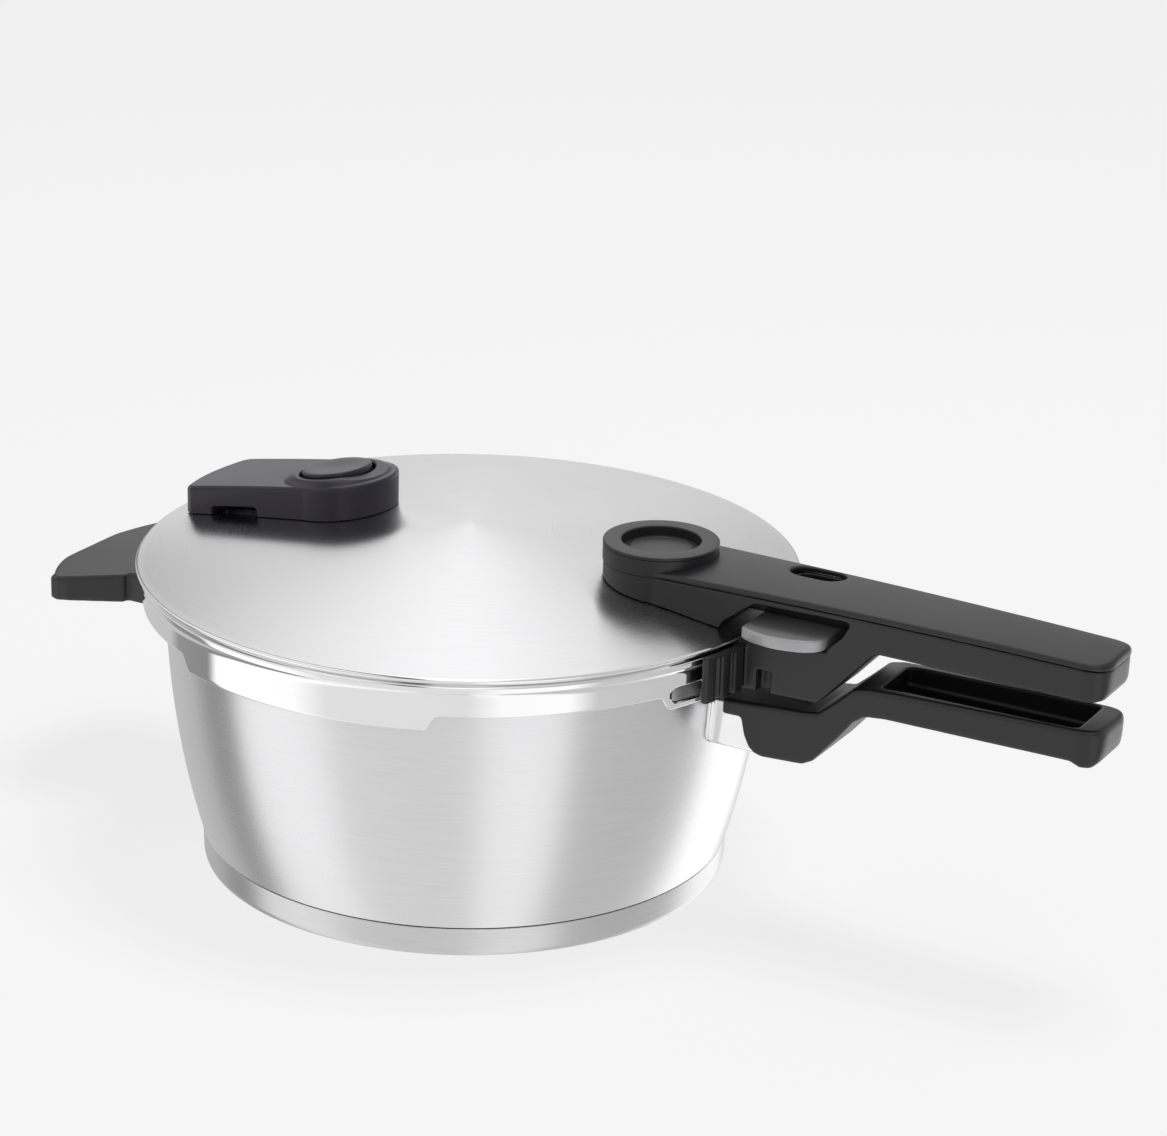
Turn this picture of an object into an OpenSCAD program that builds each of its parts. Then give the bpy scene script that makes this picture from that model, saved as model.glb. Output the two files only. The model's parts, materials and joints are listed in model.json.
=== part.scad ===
// Stovetop pressure cooker: saucepan with a bayonet lid, long handle and helper handle.
// Millimetres. +Z up, +X along the long handle, origin at the centre of the base on the worktop.

/* [Pot] */
// Inside diameter of the pot at its rim
pot_inner_d = 225; // [185:1:270]
// Height of the pot's rim above the worktop
pot_h = 112; // [92:1:150]
// How much narrower the pot is in radius where it meets the base
pot_taper = 13.4; // [10:0.1:16]
// Steel wall of the pot
pot_wall = 1.2; // [0.8:0.1:1.5]
// Height of the capsule base up to its seam
base_h = 11; // [9:0.1:14]
// Thickness of the aluminium core inside the base
core_t = 6.3; // [5:0.1:7.6]
// Width of each of the pot's three locking lugs in degrees
pot_lug_deg = 64; // [50:1:65]

/* [Lid] */
// Height of the dome above the lid's edge
lid_rise = 14.7; // [12:0.1:18]
// Steel of the lid
lid_t = 1.5; // [1.2:0.1:1.8]
// Depth of the skirt between the lugs
skirt_h = 15; // [13:0.1:16]
// Extra depth of the skirt where it carries a lug
lug_drop = 5.4; // [5:0.1:6.5]
// Width of each of the lid's three lugs in degrees
lid_lug_deg = 50; // [40:1:52]
// Height of the sealing ring
gasket_h = 3.7; // [3.2:0.1:4]

/* [Long handles] */
// Length of the lid handle outside the lid's edge
handle_l = 135; // [112:1:162]
// Radius of the round hub on the lid
hub_r = 21.3; // [18:0.1:22.5]
// Half of the lid handle's width beside the lid
handle_hw = 20; // [18:0.1:21]
// Half of the lid handle's width at its outer end
handle_end_hw = 15; // [13:0.1:17]
// Half of the lower handle's width at its outer end
pot_handle_end_hw = 14; // [12:0.1:16]
// Travel of the release key towards the lid's middle
key_travel = 6; // [4:0.1:6.2]
// Lift of the lock bolt for each millimetre that the key moves
bolt_ratio = 0.8; // [0.6:0.05:0.85]
// Radius of the screw that holds the lid handle
hub_screw_r = 3; // [2.5:0.1:3.5]

/* [Helper handle] */
// How far the helper handle reaches outside the lid's edge
helper_l = 53.7; // [45:0.1:64]
// Half of the helper handle's width
helper_hw = 42.6; // [36:0.1:51]

/* [Pressure valve] */
// Distance of the valve's axis from the lid's middle
valve_x = 56.6; // [50:0.1:62]
// Radius of the valve button
button_r = 13.4; // [12:0.1:14.4]
// How far the button rises under pressure
button_travel = 8; // [6:0.1:8.5]
// Radius of the indicator stem
stem_r = 4; // [3.4:0.1:4.8]

/* [Fits] */
// Gap between a piece and the curved steel that it sits on
seat_gap = 0.2; // [0.1:0.05:0.4]
// Gap around a piece that slides loosely
slide_gap = 0.3; // [0.2:0.05:0.4]
// Gap around a shaft that runs in a hole
run_gap = 0.08; // [0.04:0.01:0.1]

/* [Hidden] */
$fn = 96;
e = 0.01;              // overlap of cutting shapes past a face
far = 400;             // longer than anything that is cut

// Radii of the rim and the bayonet
r_in = pot_inner_d / 2;
r_out = r_in + pot_wall;
hem_r = r_out + 0.9;
pot_lug_r = r_out + 5.8;
skirt_t = 1.2;
skirt_in = pot_lug_r + 1.3;
skirt_r = skirt_in + skirt_t;
lip_r = skirt_r + 2.5;
lug_in = hem_r + 0.7;

// Heights of the rim and the bayonet
lid_z = pot_h + gasket_h + 1.2;          // the lid's edge
apex_z = lid_z + lid_rise;
skirt_z = lid_z - skirt_h;
lug_z = skirt_z - lug_drop;
lug_top = lug_z + 7.6;
pot_lug_z = lug_top + 0.5;
dome_power = 1.4;
dome_steps = 20;
lug_mid = 29.5;                           // middle of the first lug
lug_pitch = 120;
window_deg = -19.7;                       // safety window in the skirt

// Base
base_r = r_out - pot_taper - 0.2;
base_skin = 1.2;
floor_z = base_skin + core_t;
wall_steps = 12;

// Height of the dome's top surface at radius r
function dome(r) = lid_z + lid_rise * (1 - pow(min(r, lip_r) / lip_r, dome_power));
// Outside radius of the pot's wall at height z
function wall_r(z) = r_out - pot_taper * pow(max(pot_h - z, 0) / (pot_h - base_h), 2.2);

// Long handles: places along X
hub_x = lip_r - 43.8;
block_x = lip_r + 1.1;
end_x = lip_r + handle_l;
float_x = lip_r - 26.5;
window_x = lip_r + 15;
bolt_x = lip_r + 14.5;
cover_screw_x = end_x - 24;
pot_screw_x = lip_r + 16.5;

// Long handles: heights
split_z = lid_z + 15.8;                   // joint of the cover and the lower shell
cover_t = 2;
hub_top = lid_z + 23.1;
disc_r = 14.5;
disc_deep = 3.2;
block_z = lug_z + 1;
beam_z = lid_z + 3.2;
key_z = lid_z + 1.1;
key_t = 4.6;
deck_z = pot_h - 19;                      // top of the lower handle under the lid handle
grip_z = pot_h - 5;                       // top of the lower handle's grip
belly_z = pot_h - 39.6;                   // lowest line of the lower handle
bracket_hw = 16.4;
bracket_t = 1.5;
bracket_x = lip_r + 6.7;
bracket_top = pot_h - 21.5;

// Helper handle
helper_x = lip_r + helper_l;
helper_z = min(pot_h - 16.6, lug_z - 1);

// Valve
valve_tilt = 10;
valve_z = dome(valve_x);
housing_r = 21.4;
housing_top = 11.8;
housing_crown = 1;
ring_top = housing_top + 2.6;
button_top = housing_top + 3.9;
housing_end = lip_r - 6.3;
ring_in = button_r + 1.2;
tube_r = stem_r + 4.5;

steel = "#c9c9cb";
black = "#26262a";

// ---- helpers ----

// Part of a ring between two radii and two heights, over an arc
module arc_ring(r0, r1, z0, z1, mid, deg) {
  rotate([0, 0, mid - deg / 2])
    rotate_extrude(angle = deg, $fn = 180)
      translate([r0, z0]) square([r1 - r0, z1 - z0]);
}

// Side outline given as X and Z, carried across the whole width
module across(points, hw = far) {
  translate([0, hw, 0]) rotate([90, 0, 0]) linear_extrude(2 * hw) polygon(points);
}

module box(x0, x1, y0, y1, z0, z1) {
  translate([x0, y0, z0]) cube([x1 - x0, y1 - y0, z1 - z0]);
}

module rod(r, z0, z1, x = 0, y = 0) {
  translate([x, y, z0]) cylinder(r = r, h = z1 - z0);
}

module tube(r, r_hole, z0, z1, x = 0, y = 0) {
  difference() {
    rod(r, z0, z1, x, y);
    rod(r_hole, z0 - e, z1 + e, x, y);
  }
}

// Round-ended slot standing on Z, its length along X
module slot_z(length, r, z0, z1, x, y) {
  rod(r, z0, z1, x - length / 2 + r, y);
  rod(r, z0, z1, x + length / 2 - r, y);
  box(x - length / 2 + r, x + length / 2 - r, y - r, y + r, z0, z1);
}

// Everything under the dome's top surface, grown by a gap
module under_dome(gap) {
  rotate_extrude($fn = 180)
    polygon(concat([[0, lid_z - 60]],
      [[lip_r + gap, lid_z - 60], [lip_r + gap, lid_z]],
      [for (i = [dome_steps:-1:0]) let (r = lip_r * i / dome_steps) [r, dome(r) + gap]]));
}

// Everything inside the pot's outer surface, grown by a gap
module inside_pot(gap) {
  rotate_extrude($fn = 180)
    polygon(concat([[0, 0], [wall_r(base_h) + gap, 0]],
      [for (i = [0:wall_steps]) let (z = base_h + (pot_h - base_h) * i / wall_steps)
        [wall_r(z) + gap, z]],
      [[0, pot_h]]));
}

// Plan of a long handle: straight taper from x0 to x1 with rounded outer corners
module taper_plan(x0, hw0, x1, hw1, r) {
  quarter = [for (a = [0:15:90]) [x1 - r + r * sin(a), hw1 - r + r * cos(a)]];
  polygon(concat([[x0, -hw0], [x0, hw0]], quarter,
    [for (i = [len(quarter) - 1:-1:0]) [quarter[i][0], -quarter[i][1]]]));
}

// The valve's own frame: its Z axis leans outward with the housing
module on_valve() {
  translate([-valve_x, 0, valve_z]) rotate([0, -valve_tilt, 0]) children();
}

module coil(r, wire_r, length, turns) {
  linear_extrude(length, twist = -360 * turns, slices = 12 * turns, $fn = 8, segments = 8)
    translate([r, 0]) circle(wire_r);
}

// ---- pot ----

module pot_body() {
  outer = concat([[0, floor_z], [base_r - 8, floor_z], [base_r - 4, floor_z + 0.7],
                  [base_r - 2.4, floor_z + 2], [base_r - 1.2, base_h + 0.1],
                  [wall_r(base_h), base_h + 0.5]],
    [for (i = [1:wall_steps]) let (z = base_h + (pot_h - 5 - base_h) * i / wall_steps)
      [wall_r(z), z]],
    [[hem_r, pot_h - 3.4], [hem_r, pot_h]]);
  inner = concat([[r_in, pot_h]],
    [for (i = [wall_steps:-1:1]) let (z = base_h + 6 + (pot_h - 5 - base_h - 6) * i / wall_steps)
      [wall_r(z) - pot_wall, z]],
    [[wall_r(base_h + 6) - 1.8, base_h + 6], [base_r - 3.6, base_h + 1.6],
     [base_r - 7, floor_z + pot_wall + 0.8], [base_r - 12, floor_z + pot_wall],
     [0, floor_z + pot_wall]]);
  color(steel) {
    rotate_extrude($fn = 180) polygon(concat(outer, inner));
    for (k = [0:2])
      arc_ring(r_out - 0.6, pot_lug_r, pot_lug_z, pot_h - 0.4, lug_mid + k * lug_pitch, pot_lug_deg);
  }
}

module base_core() {
  color("#a9abad") rod(base_r - 2, base_skin, floor_z);
}

module base_capsule() {
  color(steel)
    rotate_extrude($fn = 180)
      polygon([[0, 0], [base_r - 1.4, 0], [base_r - 0.4, 0.4], [base_r, 1.4],
               [wall_r(base_h), base_h], [wall_r(base_h) - 1, base_h],
               [base_r - 1, base_skin + 0.8], [base_r - 1.8, base_skin], [0, base_skin]]);
}

module pot_bracket() {
  low = belly_z + 0.3;
  outline = [[lip_r - 24, low + 7], [lip_r - 13, low + 4], [lip_r - 11.6, low + 1.3],
             [lip_r - 9, low], [bracket_x, low], [bracket_x, bracket_top],
             [lip_r - 24, bracket_top]];
  color(steel) difference() {
    union() {
      difference() {
        across(outline, bracket_hw);
        difference() {
          box(0, far, -bracket_hw + bracket_t, bracket_hw - bracket_t, low + bracket_t, far);
          inside_pot(3);
        }
      }
      box(lip_r - 24, lip_r + 27, -9, 9, belly_z + 8, belly_z + 10.5);
      // flange welded to the wall
      intersection() {
        box(lip_r - 24, far, -bracket_hw - 2.8, bracket_hw + 2.8, low + 1.5, bracket_top);
        inside_pot(1.3);
      }
    }
    inside_pot(0);
    rod(2.7, belly_z, deck_z, pot_screw_x);
  }
}

module pot_handle() {
  x = lip_r;
  outline = [[x - 7.5, deck_z - 7], [x - 0.3, deck_z - 7], [x + 1.2, belly_z + 7],
             [x + 3.2, belly_z + 2.8], [x + 5.6, belly_z + 0.8], [x + 8.4, belly_z],
             [x + 24.3, belly_z + 0.6], [x + 28.3, belly_z + 2.6], [x + 37.5, belly_z + 13.3],
             [x + 43, belly_z + 20.5], [x + 47.5, belly_z + 23.6], [x + 55, belly_z + 24.2],
             [end_x - 11.5, belly_z + 23.4], [end_x - 8, belly_z + 21.8],
             [end_x - 4.2, belly_z + 21.8], [end_x - 1.8, belly_z + 24],
             [end_x - 0.6, belly_z + 28.5], [end_x, grip_z - 1], [end_x - 2, grip_z + 1],
             [x + 60, grip_z + 0.2], [x + 48, grip_z - 0.4], [x + 42.4, grip_z - 1.6],
             [x + 34.8, deck_z + 5.5], [x + 29.2, deck_z + 0.8], [x + 23.3, deck_z],
             [x - 7.5, deck_z - 1]];
  color(black) difference() {
    intersection() {
      across(outline);
      linear_extrude(far) taper_plan(lip_r - 20, 19.2, end_x - 0.4, pot_handle_end_hw, pot_handle_end_hw - 4.5);
    }
    box(0, bracket_x + 0.2, -bracket_hw - 0.2, bracket_hw + 0.2, 0, bracket_top + 0.2);
    box(0, lip_r + 27.2, -9.2, 9.2, belly_z + 7.8, belly_z + 10.7);
    rod(2.7, belly_z, belly_z + 9, pot_screw_x);
    rod(4.9, belly_z - 2, belly_z + 4, pot_screw_x);
    rod(2.5, belly_z + 9, belly_z + 15, pot_screw_x);
    // slot over which the lock bolt stands
    box(bolt_x - 5, bolt_x + 5, -5, 5, deck_z - 3, far);
    // trough along the grip
    box(lip_r + 51, end_x - 10, -pot_handle_end_hw + 2, pot_handle_end_hw - 2,
        belly_z + 26.4, far);
  }
}

module pot_handle_screw() {
  color("#8f9092") {
    rod(4.6, belly_z + 0.8, belly_z + 3.9, pot_screw_x);
    rod(2.45, belly_z + 3.9, belly_z + 14.5, pot_screw_x);
  }
}

module helper_bracket() {
  color(steel) difference() {
    union() {
      box(-lip_r - 9, -r_out + 20, -14, 14, helper_z - 8, helper_z - 5.6);
      intersection() {
        box(-far, 0, -14, 14, helper_z - 22, helper_z - 5.6);
        inside_pot(2);
      }
    }
    inside_pot(0);
    for (s = [-1, 1]) rod(2.2, 0, far, -lip_r - 1.5, 9 * s);
  }
}

module helper_handle() {
  edge = helper_x;
  droop = 0.15;
  hw = helper_hw;
  // the grip's outer edge is an arc; it falls back by sag at its corners
  end_r = 63;
  sag = end_r - sqrt(pow(end_r, 2) - pow(hw - 6, 2));
  plan = concat([[-r_out + 20, -hw + 9], [-lip_r - 9, -hw + 9], [-lip_r - 9.4, -hw + 6.6],
                 [-edge + sag + 10, -hw + 0.6], [-edge + sag + 5, -hw],
                 [-edge + sag + 1.4, -hw + 1.8]],
    [for (a = [-6:6]) let (y = (hw - 6) * a / 6) [end_r - edge - sqrt(pow(end_r, 2) - y * y), y]],
    [[-edge + sag + 1.4, hw - 1.8], [-edge + sag + 5, hw], [-edge + sag + 10, hw - 0.6],
     [-lip_r - 9.4, hw - 6.6], [-lip_r - 9, hw - 9], [-r_out + 20, hw - 9]]);
  top = helper_z;
  side = [[-r_out + 20, top], [-lip_r + 2, top], [-edge + 3, top - droop * helper_l],
          [-edge - 1, top - droop * helper_l - 2.4], [-edge - 1, top - droop * helper_l - 6],
          [-edge + 5, top - droop * helper_l - 8.6], [-lip_r - 9, top - 13],
          [-r_out + 20, top - 13]];
  color(black) difference() {
    intersection() {
      linear_extrude(far) polygon(plan);
      across(side);
    }
    inside_pot(seat_gap + 2);
    box(-lip_r - 9.3, 0, -14.3, 14.3, helper_z - 8.2, helper_z - 5.4);
    for (s = [-1, 1]) {
      rod(2.2, 0, helper_z - 7, -lip_r - 1.5, 9 * s);
      rod(4, 0, helper_z - 11.4, -lip_r - 1.5, 9 * s);
      rod(1.9, helper_z - 7, helper_z - 2, -lip_r - 1.5, 9 * s);
    }
  }
}

module helper_screws() {
  color("#8f9092") for (s = [-1, 1]) {
    rod(3.7, helper_z - 13.4, helper_z - 11.5, -lip_r - 1.5, 9 * s);
    rod(1.85, helper_z - 11.5, helper_z - 2.4, -lip_r - 1.5, 9 * s);
  }
}

// ---- lid ----

module gasket() {
  z = pot_h;
  color("#6a6b6f")
    rotate_extrude($fn = 180)
      polygon([[r_in - 4, z], [skirt_in - 0.6, z], [skirt_in - 0.6, z + gasket_h - 0.2],
               [skirt_in - 3, z + gasket_h + 0.1], [r_in - 3, z + gasket_h + 0.5],
               [r_in - 3, z + gasket_h - 0.8], [r_in + 3.5, z + gasket_h - 1.2],
               [r_in + 3.5, z + 1.5], [r_in - 4, z + 0.9]]);
}

// Cut under the skirt between two angles
module skirt_gap(a0, a1) {
  arc_ring(skirt_in - 1, skirt_r + 1, lug_z - 1, skirt_z, (a0 + a1) / 2, a1 - a0);
}

module lid_shell() {
  top = [for (i = [0:dome_steps]) let (r = lip_r * i / dome_steps) [r, dome(r)]];
  under = [for (i = [dome_steps:-1:0]) let (r = skirt_in * i / dome_steps) [r, dome(r) - lid_t]];
  edge = [[lip_r, lid_z - 1.5], [skirt_r + 1.4, lid_z - 1.9], [skirt_r + 1.2, lid_z - 5.6],
          [skirt_r + 0.6, lid_z - 6.4], [skirt_r, skirt_z + 2], [skirt_r, lug_z],
          [skirt_in, lug_z]];
  lug_end = lug_mid + lid_lug_deg / 2;
  lobe = 15;
  color(steel) difference() {
    union() {
      difference() {
        rotate_extrude($fn = 180) polygon(concat(top, edge, under));
        // the skirt is shorter between the lugs, but not at the safety window
        for (k = [0:1]) skirt_gap(lug_end + k * lug_pitch, lug_end + (k + 1) * lug_pitch - lid_lug_deg);
        skirt_gap(lug_end + 2 * lug_pitch, 360 + window_deg + 2.5 - lobe / 2);
        skirt_gap(window_deg + 2.5 + lobe / 2, lug_end - lid_lug_deg);
      }
      for (k = [0:2]) {
        mid = lug_mid + k * lug_pitch;
        arc_ring(lug_in, skirt_in + skirt_t / 2, lug_z + 0.2, lug_z + skirt_t, mid, lid_lug_deg - 1);
        arc_ring(lug_in, lug_in + skirt_t, lug_z + 0.2, lug_top, mid, lid_lug_deg - 1);
      }
    }
    // safety window
    rotate([0, 0, window_deg]) {
      box(skirt_in - 3, skirt_r + 3, -5, 5, skirt_z - 2.8, skirt_z + 2.8);
      for (s = [-1, 1])
        translate([skirt_in - 3, 5 * s, skirt_z]) rotate([0, 90, 0]) cylinder(r = 2.9, h = 8);
    }
    rod(hub_screw_r + 0.3, lid_z - 5, apex_z, hub_x);
    rod(3.2, lid_z - 5, apex_z, float_x);
    on_valve() rod(tube_r + 0.1, -12, 12);
    rod(2.2, lid_z - 5, apex_z, -housing_end + 16);
  }
}

// Plan of the lid handle: the hub's circle and the tapering beam
module handle_plan(gap = 0) {
  translate([hub_x, 0]) circle(r = hub_r - gap);
  taper_plan(hub_x, handle_hw + 0.4 - gap, end_x - gap, handle_end_hw - gap, handle_end_hw - 5.5);
}

// Side outline of the joint between cover and lower shell, raised by dz
function split_line(dz) = [for (i = [0:6]) let (x = hub_x - 30 + (end_x + 38 - hub_x) * i / 6)
  [x, split_z + dz - 2.6 * pow(max(x - lip_r, 0) / handle_l, 2)]];

module lid_handle_cover() {
  line = split_line(0.15);
  crown = split_line(cover_t);
  color(black) difference() {
    union() {
      intersection() {
        across(concat(line, [for (i = [6:-1:0]) crown[i]]));
        linear_extrude(far) handle_plan();
      }
      rod(hub_r, split_z + 0.15, hub_top, hub_x);
      rod(4.2, split_z - 6, split_z, cover_screw_x);
    }
    rod(disc_r, hub_top - disc_deep - 1.6, hub_top + 1, hub_x);
    rod(hub_screw_r - 0.02, 0, hub_top - disc_deep - 2.4, hub_x);
    slot_z(21, 6.5, split_z - 1, far, window_x, 11.5);
    rod(1.6, 0, split_z - 2, cover_screw_x);
  }
}

module key_space() {
  // openings on both sides in which the key's ears travel
  x = lip_r;
  mouth = [[x - 11, key_z - 1], [x - 8.5, key_z + 3.5], [x + 3.5, split_z - 2.4],
           [x + 41, split_z - 2.2], [x + 37.5, key_z + 6.2], [x + 32, key_z + 1],
           [x + 32, key_z - slide_gap], [x + 1, key_z - slide_gap], [x + 1, key_z - 1]];
  difference() {
    across(mouth);
    box(0, far, -5.5, 5.5, key_z + key_t + slide_gap, far);
  }
  // channel of the key's spring and its post
  box(lip_r - 17.2, lip_r + 7.6, -3.3, 3.3, key_z + key_t, key_z + key_t + 6.8);
}

module lid_handle_base() {
  x = lip_r;
  top = split_line(0);
  shell = concat([for (i = [6:-1:0]) top[i]],
    [[hub_x - 30, lid_z - 2], [x - 6, lid_z - 2], [block_x, lid_z - 2], [block_x, block_z],
     [x + 29.2, block_z], [x + 50.2, beam_z + 0.4], [end_x - 6, beam_z - 1.6],
     [end_x - 2, beam_z - 0.8], [end_x - 0.6, beam_z + 1.6], [end_x, beam_z + 8]]);
  color(black) difference() {
    union() {
      intersection() {
        across(shell);
        linear_extrude(far) handle_plan(0.3);
      }
      // wing that hangs round the lid's skirt
      arc_ring(lip_r + 0.4, lip_r + 3, block_z, lid_z - 1.8, 0, 36.6);
    }
    under_dome(seat_gap);
    key_space();
    // grooves between the wing's ribs
    for (s = [-1, 1]) {
      arc_ring(lip_r + 1.4, lip_r + 4, block_z - 1, lid_z - 3.4, 15.3 * s, 1.5);
      arc_ring(lip_r + 1.4, lip_r + 4, block_z - 1, lid_z - 3.4, 12.1 * s, 1.7);
      arc_ring(lip_r + 1.4, lip_r + 4, block_z - 1, lid_z - 3.4, 8.9 * s, 0.9);
    }
    // notch in the block's two cheeks
    for (s = [-1, 1])
      box(x + 5.5, x + 11, s > 0 ? 14 : -far, s > 0 ? far : -14, 0, block_z + 8.6);
    // room inside the block for the bolt and the key's cam
    box(block_x + 2.4, x + 28, -9.5, 9.5, block_z + 3, key_z);
    box(bolt_x - 4.3, bolt_x + 4.3, -4.3, 4.3, 0, block_z + 4);
    // hollow in the beam and its screw
    difference() {
      box(x + 58, end_x - 12, -handle_end_hw + 3.3, handle_end_hw - 3.3, beam_z + 1.4, far);
      rod(4.2, 0, split_z - 6.1, cover_screw_x);
    }
    rod(2.1, 0, far, cover_screw_x);
    rod(3.6, 0, beam_z + 1.6, cover_screw_x);
    // window over the lock flag
    slot_z(21, 6.5, key_z + key_t + 1, far, window_x, 11.5);
    // bores over the lid
    rod(hub_screw_r + 0.15, 0, far, hub_x);
    rod(5.4, 0, split_z - 2, float_x);
  }
}

module hub_disc() {
  z = hub_top - disc_deep - 1.5;
  color("#303034") {
    rod(disc_r - 0.15, z, z + 1.5, hub_x);
    tube(disc_r - 2.2, disc_r - 3, z + 1.5, z + 1.8, hub_x);
  }
}

module hub_screw() {
  z = dome(hub_x) - lid_t - 2.9;
  color("#8f9092") difference() {
    union() {
      rod(6.4, z - 3, z, hub_x);
      rod(hub_screw_r - 0.05, z, hub_top - disc_deep - 3, hub_x);
    }
    box(hub_x - 6, hub_x + 6, -0.6, 0.6, z - 4, z - 1.8);
  }
}

module hub_washer() {
  z = dome(hub_x) - lid_t - 2.9;
  color("#6a6b6f") tube(8, hub_screw_r + 0.1, z, z + 1.5, hub_x);
}

module cover_screw() {
  color("#8f9092") {
    rod(3.3, beam_z - 0.6, beam_z + 1.5, cover_screw_x);
    rod(1.55, beam_z + 1.5, split_z - 2.4, cover_screw_x);
  }
}

// ---- release key, lock bolt and float ----

module release_key() {
  x = lip_r;
  hw = handle_hw;
  front = [[x + 0.6, hw + 2], [x + 4.5, hw + 4.2], [x + 10, hw + 5.6], [x + 16, hw + 6],
           [x + 22, hw + 5], [x + 27, hw + 3], [x + 30.4, hw - 0.4], [x + 31.4, hw - 4],
           [x + 31.4, 7]];
  pin = [bolt_x, block_z + 10];
  color("#b9babd") difference() {
    union() {
      translate([0, 0, key_z]) linear_extrude(key_t)
        polygon(concat([[x + 0.6, 7]], front,
          [for (i = [len(front) - 1:-1:0]) [front[i][0], -front[i][1]]], [[x + 0.6, -7]]));
      box(x + 3.4, x + 6.8, -2.9, 2.9, key_z + key_t - e, key_z + key_t + 6);
      // cam plate with the sloping slot
      box(x + 10.4, x + 27, 5, 8, block_z + 4, key_z + e);
    }
    // slot in which the bolt's pin rides
    for (t = [0, key_travel])
      translate([pin[0] + t, 4, pin[1] + t * bolt_ratio]) rotate([-90, 0, 0]) cylinder(r = 2.2, h = 5);
    translate([pin[0], 4, pin[1]]) rotate([0, -atan(bolt_ratio), 0])
      translate([0, 0, -2.1]) cube([key_travel * sqrt(1 + bolt_ratio * bolt_ratio), 5, 4.2]);
  }
}

module lock_flag() {
  color("#3f9a4c") box(window_x - 9.5, window_x + 9.5, 7.5, 16, key_z + key_t, key_z + key_t + 0.8);
}

module key_spring() {
  color("#9a9b9e")
    translate([lip_r - 17, 0, key_z + key_t + 3.2]) rotate([0, 90, 0]) coil(2.4, 0.45, 20.2, 7);
}

module lock_bolt() {
  pin_z = block_z + 10;
  color("#9fa0a3") {
    box(bolt_x - 4, bolt_x + 4, -4, 4, deck_z + 0.8, key_z - key_travel * bolt_ratio - 0.8);
    translate([bolt_x, 3.9, pin_z]) rotate([-90, 0, 0]) cylinder(r = 2, h = 4.6);
  }
}

module float_seat() {
  z = dome(float_x);
  color("#e8e8e6") difference() {
    union() {
      rod(3.1, z - lid_t - 1.2, z + 1, float_x);
      rod(5, z + 0.7, z + 1.9, float_x);
      rod(4.6, z - lid_t - 2.2, z - lid_t - 0.7, float_x);
    }
    rod(2, 0, far, float_x);
  }
}

module float_pin() {
  z = dome(float_x);
  color("#b9babd") {
    rod(2 - run_gap, z - lid_t - 5.2, z + 5.4, float_x);
    rod(3.4, z - lid_t - 6.4, z - lid_t - 5.2, float_x);
  }
}

module float_cap() {
  z = dome(float_x);
  color("#d9482b") tube(3.6, 2 - run_gap, z + 3.2, z + 5.4, float_x);
}

// ---- pressure valve ----

module valve_housing() {
  end_r = 60;
  corner = 3;
  hw = housing_r - 0.4;
  centre_x = end_r - housing_end;
  a_end = asin((hw - corner) / (end_r - corner));
  arc = [for (i = [-3:3]) let (a = a_end * i / 3)
    [centre_x - end_r * cos(a), end_r * sin(a)]];
  corner_x = centre_x - (end_r - corner) * cos(a_end);
  round_corner = [for (t = [0:20:40]) [corner_x - corner * sin(t), -hw + corner - corner * cos(t)]];
  plan = concat([[-valve_x, -hw]], round_corner, arc,
    [for (i = [len(round_corner) - 1:-1:0]) [round_corner[i][0], -round_corner[i][1]]],
    [[-valve_x, hw]]);
  // crowned top in the valve's own frame
  middle = (housing_end - valve_x) / 2;
  crown = [for (i = [-4:4])
    [-middle + (middle + 24) * i / 4, housing_top + housing_crown * (1 - i * i / 16)]];
  color("#2b2a30") difference() {
    union() {
      intersection() {
        union() {
          linear_extrude(far) polygon(plan);
          rod(housing_r, 0, far, -valve_x);
        }
        on_valve() across(concat([[-far, -30], [-far, housing_top - 8]], crown,
          [[far, housing_top - 8], [far, -30]]));
      }
      on_valve() rod(housing_r - 0.2, 4, ring_top);
    }
    under_dome(seat_gap);
    on_valve() {
      rod(ring_in, 8.4, far);
      rod(button_r + slide_gap, 2, far);
      rod(button_r + 0.3, -20, 3);
    }
    // steam channel and its outlet on the side
    intersection() {
      on_valve() box(-50, -22, -hw + 2.4, hw - 2.4, -20, housing_top - 2);
      rod(housing_end - 5, 0, far);
    }
    steam_outlet();
    rod(1.9, 0, dome(housing_end - 16) + 5.6, -housing_end + 16);
  }
}

module steam_outlet() {
  on_valve() box(-46.5, -25, -far, 0, -8, 5);
}

module valve_seat() {
  color(steel) on_valve() difference() {
    union() {
      rod(tube_r, -15, 1);
      rod(tube_r + 2.6, 1, 2.2);
    }
    rod(stem_r + run_gap, -16, 3);
    rod(tube_r - 1.3, -16, -1);
  }
}

module valve_seal() {
  color("#6a6b6f") difference() {
    on_valve() tube(tube_r + 2.6, tube_r + 0.15, -3, 0.95);
    under_dome(0.05);
  }
}

module valve_nut() {
  color(steel) on_valve() difference() {
    rod(tube_r + 4.2, -6.4, -2.7, $fn = 6);
    rod(tube_r + 0.05, -7, -2);
  }
}

module housing_screw() {
  x = -housing_end + 16;
  z = dome(abs(x)) - lid_t - 1.6;
  color("#8f9092") {
    rod(3.6, z - 2, z, x);
    rod(1.85, z, z + 8, x);
  }
}

module valve_button() {
  color("#2b2a30") on_valve() {
    rod(button_r - 0.6, button_top - 0.6, button_top);
    rod(button_r, 8.4, button_top - 0.6);
  }
}

module indicator_sleeve() {
  color("#e8e8e6") on_valve() difference() {
    rod(button_r - 0.5, 2.5, 8.4);
    rod(button_r - 2.5, 2, 6.6);
    // two pressure rings
    for (z = [3.6, 6.6]) tube(button_r, button_r - 0.9, z, z + 0.9);
  }
}

module valve_stem() {
  color("#b9babd") on_valve() {
    rod(stem_r, -13.8, 6.6);
    rod(tube_r - 1.6, -13.8, -12.6);
  }
}

module stem_washer() {
  color("#6a6b6f") on_valve() tube(tube_r - 1.7, stem_r + 0.05, -12.6, -11.8);
}

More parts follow.
